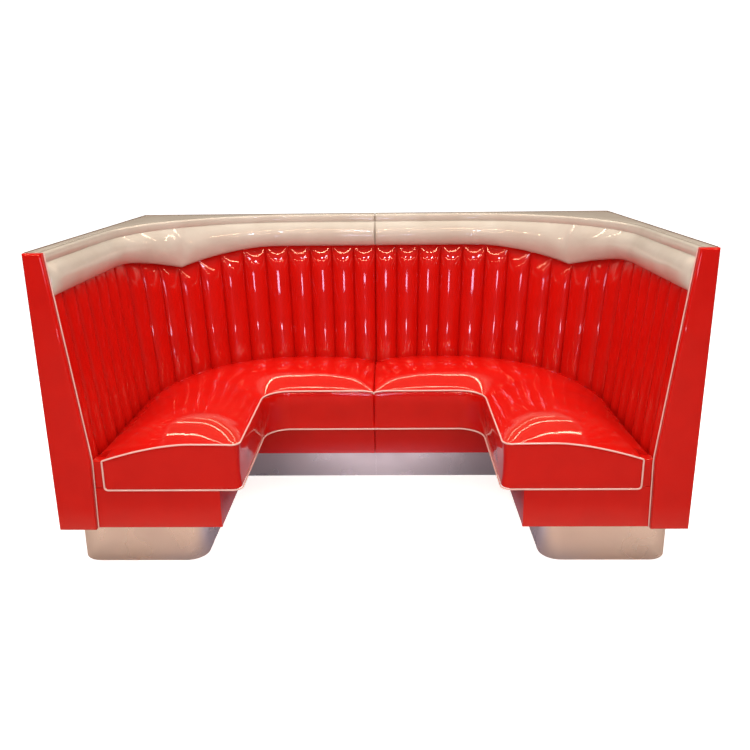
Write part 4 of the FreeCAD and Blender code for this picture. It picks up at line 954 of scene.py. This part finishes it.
def wrappedBoard(low, high, thickness, corner, leftEdge, puff, recess, count):
    # A padded board as seen square on: columns across and rows up. Near its edges the cover rounds
    # back in a quarter circle, and between them it swells by the puff. The back is flat, with a
    # recess where a board sits inside. Returns points as (across, depth, up), depth 0 at the face.
    turn = np.linspace(0, quarter, 6)
    rimInset = join([0], corner * (1 - np.cos(turn)))
    rimDepth = join([thickness], corner * (1 - np.sin(turn)))
    tall = high[1] - low[1]
    insideUp = np.linspace(corner, tall - corner, count[1])[1:-1]
    up = join(rimInset, insideUp, tall - rimInset[::-1])
    upDepth = join(rimDepth, 0 * insideUp, rimDepth[::-1])
    insideShare = evenly(count[0])[1:-1]
    acrossDepth = join(rimDepth, 0 * insideShare, rimDepth[::-1])
    left = leftEdge(low[1] + up) if leftEdge else np.full(len(up), float(low[0]))
    left = left[:, None]
    width = high[0] - left
    across = join(rimInset + 0 * width, corner + insideShare * (width - 2 * corner),
                  width - rimInset[::-1], axis=1)
    x = left + across
    z = np.broadcast_to((low[1] + up)[:, None], x.shape)
    depths = np.maximum(upDepth[:, None], acrossDepth)
    swell = np.sin(np.clip(across / width, 0, 1) * math.pi) * np.sin(up / tall * math.pi)[:, None]
    face = at(x, depths - puff * np.clip(swell, 0, 1) ** wrap["puffPower"], z)
    inset = np.minimum(np.minimum(across, width - across), np.minimum(up, tall - up)[:, None])
    backDepth = thickness - recess * (inset > wrap["border"])
    return face, at(x, backDepth, z)


panel = {"round": 7, "puff": 1.6, "boardRecess": 12, "footTaper": 6, "waveLength": 160, "wave": 0.35}


def panelInner(z):
    # Inner edge of the end panel: it leans back above the knee and tapers a little below it.
    above = halfWidth - booth["kneeWidth"] + (z - booth["kneeHeight"]) * lean
    toKnee = (z - panelBox[0][2]) / (booth["kneeHeight"] - panelBox[0][2])
    below = halfWidth - welt["panelFootWidth"] - toKnee * panel["footTaper"]
    return np.where(z > booth["kneeHeight"], above, below)


def panelGrids(seed):
    face, rear = wrappedBoard((0, panelBox[0][2]), (halfWidth, boothTop), panelY,
                              panel["round"], panelInner, panel["puff"], panel["boardRecess"], (14, 70))
    face[..., 1] += uneven(face, panel, seed + 23) * (face[..., 1] < 0.5)
    return [face, rear]


addPair("EndPanel", panelGrids, redVinyl, ["end_panel_cover"], 50)

board = {"round": 4, "puff": 0.8}


def boxBoard(node, axis, count):
    # A wrapped board in the box of a CAD node; it faces forward on axis 1, to the middle on axis 0.
    def makeGrids(seed):
        low, high = nodeBox("right_" + node)
        other = 1 - axis
        sides = wrappedBoard((low[other], low[2]), (high[other], high[2]), high[axis] - low[axis],
                             board["round"], None, board["puff"], 0, count)
        order = (1, 0, 2) if axis == 0 else (0, 1, 2)
        return [side[..., order] + low[axis] * np.eye(3)[axis] for side in sides]
    return makeGrids


for name, node, axis, count in (("FrontFiller", "front_filler", 1, (8, 14)),
                                ("BaseFront", "base_front_panel", 1, (24, 14)),
                                ("BaseSide", "base_side_panel", 0, (24, 14)),
                                ("BaseRear", "base_rear_panel", 1, (24, 14))):
    addPair(name, boxBoard(node, axis, count), redVinyl, [node])


def alongPlan(path, profile):
    # Carries a profile of (inward distance, height) points along a plan path, on its left side.
    along = unit(np.gradient(path, axis=0))
    inward = at(-along[:, 1], along[:, 0])
    plan = path[:, None] + inward[:, None] * profile[:, :1]
    height = np.broadcast_to(profile[:, 1:], plan.shape[:2] + (1,))
    return closeRound(join(plan, height, axis=-1))


cover = {"thickness": 18, "cornerRound": 8, "edgeRound": 3, "seamRound": 6, "seamReach": 10,
         "nearSeamShares": [1, 0.5, 0.25, 0.1, 0], "rows": 20, "spacing": 24}


def outerCoverGrids(seed):
    # The outer side and rear as one stretched cover, carried round the square corner of the booth.
    low, high = nodeBox("right_side_wall")
    turn = np.linspace(0, quarter, 5)
    edge = cover["edgeRound"]
    bottom = at(edge * (1 - np.sin(turn)), low[2] + edge * (1 - np.cos(turn)))
    top = at(edge * (1 - np.cos(turn)), high[2] - edge * (1 - np.sin(turn)))
    upward = np.linspace(low[2] + edge, high[2] - edge, cover["rows"] + 2)[1:-1]
    inside = np.array([(cover["thickness"], high[2]), (cover["thickness"], low[2])])
    profile = join(bottom, at(0 * upward, upward), top, inside)
    nearSeam = booth["seamX"] + cover["seamRound"] * np.array(cover["nearSeamShares"])
    corners = [(halfWidth, panelY, 0), (halfWidth, rearY, 0)]
    corners += [(x, rearY, 0) for x in nearSeam]
    path = bendPath(corners, [cover["cornerRound"]] + [0.1] * 4, cover["spacing"])[:, :2]
    grid = alongPlan(path, profile)
    sunk = seamGroove(grid[..., 0] - booth["seamX"], cover["seamRound"])
    grid[..., 1] -= sunk * (grid[..., 1] > rearY - cover["seamReach"])
    return [grid]


addPair("OuterCover", outerCoverGrids, redVinyl, ["side_wall", "rear_wall"], 50)

edgeCord = {"diameter": 4, "inset": 2, "below": 0.5, "cornerRound": 8, "seamGap": 1}


def edgeCordGrids(seed):
    # A cord under the outer edge of the cap, from the end panel round the corner to the seam.
    z = boothTop - edgeCord["below"]
    x = halfWidth - edgeCord["inset"]
    y = rearY - edgeCord["inset"]
    path = bendPath([(x, panelY + edgeCord["inset"], z), (x, y, z),
                     (booth["seamX"] + edgeCord["seamGap"], y, z)], [edgeCord["cornerRound"]], 20)
    return [tube(path, edgeCord["diameter"] / 2, 8)]


addPair("CapEdgeCord", edgeCordGrids, darkEdgeVinyl, [], 60)

toe = {"sheet": 1.5, "behindSeat": 156, "behindBase": 160, "frontRound": 70, "innerCut": 1.2, "rows": 12}


def toeGrids(seed):
    # One bent sheet: a thin upright profile carried round the plinth, with rounded front corners.
    low, high = nodeBox("right_toe_kick")
    backY = nodeBox("right_base_rear_panel")[0][1] + toe["behindBase"]
    innerX = cushion["innerX"] + toe["behindSeat"]
    arc = np.linspace(0, quarter, 19)
    far, near = toe["frontRound"] * (1 - np.cos(arc)), toe["frontRound"] * (1 - np.sin(arc))
    path = join(
        [(booth["seamX"], backY), (innerX - toe["innerCut"], backY), (innerX, backY - toe["innerCut"])],
        at(innerX + far, low[1] + near),
        at(high[0] - near, low[1] + far),
        [(high[0], high[1])],
    )
    path = respaced(path, lambda end: np.linspace(0, end, 60), 0.3)
    rise = (high[2] - low[2]) * evenly(toe["rows"])
    offset = np.repeat([0, toe["sheet"]], toe["rows"])
    profile = at(offset, join(low[2] + rise, high[2] - rise))
    return [alongPlan(path, profile)]


addPair("ToeKick", toeGrids, brushedSteel, ["toe_kick"])

# Pale matt floor. The camera sees it almost white, lifted by a glow, and light bounced off it is greyer.
# Reflections see painted colours: darker with the ray's length, as painted shade, and another tint
# inside the bay, which is where |x| and y, in metres, lie within its edges. There the middle is a
# painted pool of flash light, and for rays that reach it from close by the floor glows, as painted light.
floorLook = {
    "colour": "FDFDFD", "cloudColour": "F8F8F8", "cloudSize": 500, "roughness": 0.9, "bounced": "B8B2B0",
    "nearOutside": "D8BEAC", "farOutside": "94685A", "farBay": "6E6274",
    "nearBaySide": "98909E", "nearBayMiddle": "F0ECFF",
    "rayNear": 0.32, "rayFar": 0.6, "bayFront": (-0.62, -0.4), "baySide": (0.65, 0.8),
    "middle": (0.05, 0.45), "glowSeen": 0.8, "glowOutside": 0.08, "glowBay": 0.34, "size": 30,
}
floorMaterial, tree, principled, place = newMaterial("paleFloor", {"Roughness": floorLook["roughness"]})
tint = {key: linear(code) for key, code in floorLook.items() if isinstance(code, str)}
cloudShare = noise(tree, place, floorLook["cloudSize"])
floorColour = mixColours(tree, cloudShare, tint["colour"], tint["cloudColour"])
rays = addNode(tree, "ShaderNodeLightPath").outputs
# Painted shade: reflections see the floor darker the farther it lies.
farShare = mapRange(tree, rays["Ray Length"], floorLook["rayNear"], floorLook["rayFar"])
floorParts = addNode(tree, "ShaderNodeSeparateXYZ", None, {0: place}).outputs
frontEdge = mapRange(tree, floorParts["Y"], *floorLook["bayFront"])
acrossBay = calculate(tree, "ABSOLUTE", floorParts["X"])
sideEdge = mapRange(tree, acrossBay, *floorLook["baySide"], 1.0, 0.0)
bayShare = calculate(tree, "MULTIPLY", frontEdge, sideEdge)
# Painted pool of flash light: inside the bay, reflections see the middle of the floor paler than its sides.
middleShare = mapRange(tree, acrossBay, *floorLook["middle"], 1.0, 0.0)
nearBay = mixColours(tree, middleShare, tint["nearBaySide"], tint["nearBayMiddle"])
nearFloor = mixColours(tree, bayShare, tint["nearOutside"], nearBay)
farFloor = mixColours(tree, bayShare, tint["farOutside"], tint["farBay"])
reflected = mixColours(tree, farShare, nearFloor, farFloor)
bounced = mixColours(tree, rays["Is Diffuse Ray"], floorColour, tint["bounced"])
floorSeen = mixColours(tree, rays["Is Glossy Ray"], bounced, reflected)
# Painted light: the floor glows for rays that reach it from close by, more inside the bay.
glowShare = mapRange(tree, bayShare, 0.0, 1.0, floorLook["glowOutside"], floorLook["glowBay"])
shortShare = mapRange(tree, farShare, 1.0, 0.0, 0.0, glowShare)
floorGlow = addNode(tree, "ShaderNodeMix", {"data_type": "FLOAT"}, {
    0: rays["Is Camera Ray"], 2: shortShare, 3: floorLook["glowSeen"]}).outputs[0]
feed(tree, principled, {
    "Base Color": floorSeen, "Emission Color": floorSeen, "Emission Strength": floorGlow})
floorMesh = bpy.data.meshes.new("floor")
side = floorLook["size"]
floorMesh.from_pydata([(-side, -side, 0), (side, -side, 0), (side, side, 0), (-side, side, 0)], [],
                      [(0, 1, 2, 3)])
floorMesh.materials.append(floorMaterial)
floor = bpy.data.objects.new("floor", floorMesh)
scene.collection.objects.link(floor)

# A white room. Reflections see it dim, and warmer in two bands on the side behind the booth: one
# along the horizon and one overhead. Each band's ends are heights of the ray's direction.
sky = {
    "seen": 1.1, "diffuse": 0.52,
    "front": "2A2624", "behind": "AC9682", "above": "C8B488",
    "behindFrom": 0.1, "behindTo": 0.85, "lowBand": (0.13, 0.19), "lowRest": 0.12, "highBand": (0.38, 0.5),
}
world = bpy.data.worlds.new("softWorld")
scene.world = world
world.use_nodes = True
tree = world.node_tree
tree.nodes.clear()
rays = addNode(tree, "ShaderNodeLightPath").outputs
skyWay = addNode(tree, "ShaderNodeTexCoord").outputs["Generated"]
skyParts = addNode(tree, "ShaderNodeSeparateXYZ", None, {0: skyWay}).outputs
behind = mapRange(tree, skyParts["Y"], sky["behindFrom"], sky["behindTo"])
lowBand = mapRange(tree, skyParts["Z"], *sky["lowBand"], 1.0, sky["lowRest"])
highBand = mapRange(tree, skyParts["Z"], *sky["highBand"])
lowShare = calculate(tree, "MULTIPLY", behind, lowBand)
highShare = calculate(tree, "MULTIPLY", behind, highBand)
lowSky = mixColours(tree, lowShare, linear(sky["front"]), linear(sky["behind"]))
glossySky = mixColours(tree, highShare, lowSky, linear(sky["above"]))
white = (1, 1, 1, 1)
dimmed = mixColours(tree, rays["Is Glossy Ray"], white, glossySky)
seen = mixColours(tree, rays["Is Camera Ray"], dimmed, white)
strength = mapRange(tree, rays["Is Camera Ray"], 0.0, 1.0, sky["diffuse"], sky["seen"])
background = addNode(tree, "ShaderNodeBackground", None, {"Color": seen, "Strength": strength})
addNode(tree, "ShaderNodeOutputWorld", None, {"Surface": background.outputs[0]})

# Lamps, in metres: middle x, y, z, what they aim at, width, height, radiance, colour, and the rays
# that don't see them. Tubes and flashes show in reflections only; the others only give light.
seats = (0, 0.4, 0.7)
lamps = {
    "tube0": ((0.0, -5.0, 3.2), None, 9.0, 0.08, 70, "FFC8A0", "diffuse"),
    "tube1": ((0.0, -2.2, 3.2), None, 8.0, 0.06, 90, "FFC8A0", "diffuse"),
    "tube2": ((0.0, 1.1, 3.2), None, 8.0, 0.05, 34, "FFD8B8", "diffuse"),
    "tube3": ((0.0, 2.45, 3.2), None, 7.4, 0.05, 34, "FFD8B8", "diffuse"),
    "tube4": ((0.0, 3.5, 3.2), None, 8.4, 0.05, 20, "FFD8B8", "diffuse"),
    "flash0": ((-0.1, -2.95, 0.90), seats, 0.5, 0.16, 17, "D8D4FF", "diffuse"),
    "flash1": ((-0.1, -2.95, 0.48), seats, 0.25, 0.06, 36, "DCDCFF", "diffuse"),
    "flash2": ((-0.29, -2.9, 2.8), seats, 0.3, 0.16, 60, "DCE6FF", "diffuse"),
    "flash3": ((1.0, -2.9, 2.7), seats, 0.4, 0.2, 60, "DCE6FF", "diffuse"),
    "overhead": ((0.0, -0.3, 3.6), None, 4.5, 3.5, 3.3, "FFF4EA", "glossy"),
    "front": ((0.0, -4.5, 2.0), (0, 0, 0.5), 4.0, 2.0, 3.4, "FFF2EC", "glossy"),
}
for name, (place, aim, width, height, radiance, colour, unseen) in lamps.items():
    # An area light of a given radiance: power = radiance x area x pi. With no aim it points down.
    data = bpy.data.lights.new(name, "AREA")
    data.shape = "RECTANGLE"
    data.size = width
    data.size_y = height
    data.energy = radiance * width * height * math.pi
    data.color = linear(colour)[:3]
    lamp = bpy.data.objects.new(name, data)
    lamp.location = place
    way = np.array(aim or (place[0], place[1] + 0.001, 0), float) - place
    turn = math.atan2(-way[0], way[1])
    tilt = math.atan2(math.hypot(way[0], way[1]), -way[2])
    lamp.rotation_euler = (tilt, 0, turn)
    lamp.visible_camera = False
    lamp.visible_diffuse = unseen != "diffuse"
    lamp.visible_glossy = unseen != "glossy"
    scene.collection.objects.link(lamp)

# The camera of the photograph: place in millimetres, angles in degrees, focal length in pixels of a
# picture 750 wide.
view = {"x": 62.72, "y": -2270.7, "height": 1374.5, "yaw": -1.17, "pitch": 16.74, "roll": -0.66,
        "focal": 781.44, "picture": 750, "sensor": 36}
camera = bpy.data.objects.new("camera", bpy.data.cameras.new("camera"))
scene.collection.objects.link(camera)
scene.camera = camera
yaw, pitch, rollAngle = [math.radians(view[key]) for key in ("yaw", "pitch", "roll")]
forward = np.array([math.sin(yaw) * math.cos(pitch), math.cos(yaw) * math.cos(pitch), -math.sin(pitch)])
right = np.array([math.cos(yaw), -math.sin(yaw), 0])
upward = np.cross(right, forward)
pose = np.eye(4)
pose[:3, 0] = math.cos(rollAngle) * right + math.sin(rollAngle) * upward
pose[:3, 1] = math.cos(rollAngle) * upward - math.sin(rollAngle) * right
pose[:3, 2] = -forward
pose[:3, 3] = [view["x"] / 1000, (view["y"] - depth / 2) / 1000, view["height"] / 1000]
camera.matrix_world = Matrix(pose.tolist())
camera.data.sensor_width = view["sensor"]
camera.data.lens = view["focal"] / view["picture"] * view["sensor"]
camera.data.clip_end = 100
scene.view_settings.view_transform = "Standard"
print("made camera and lights")
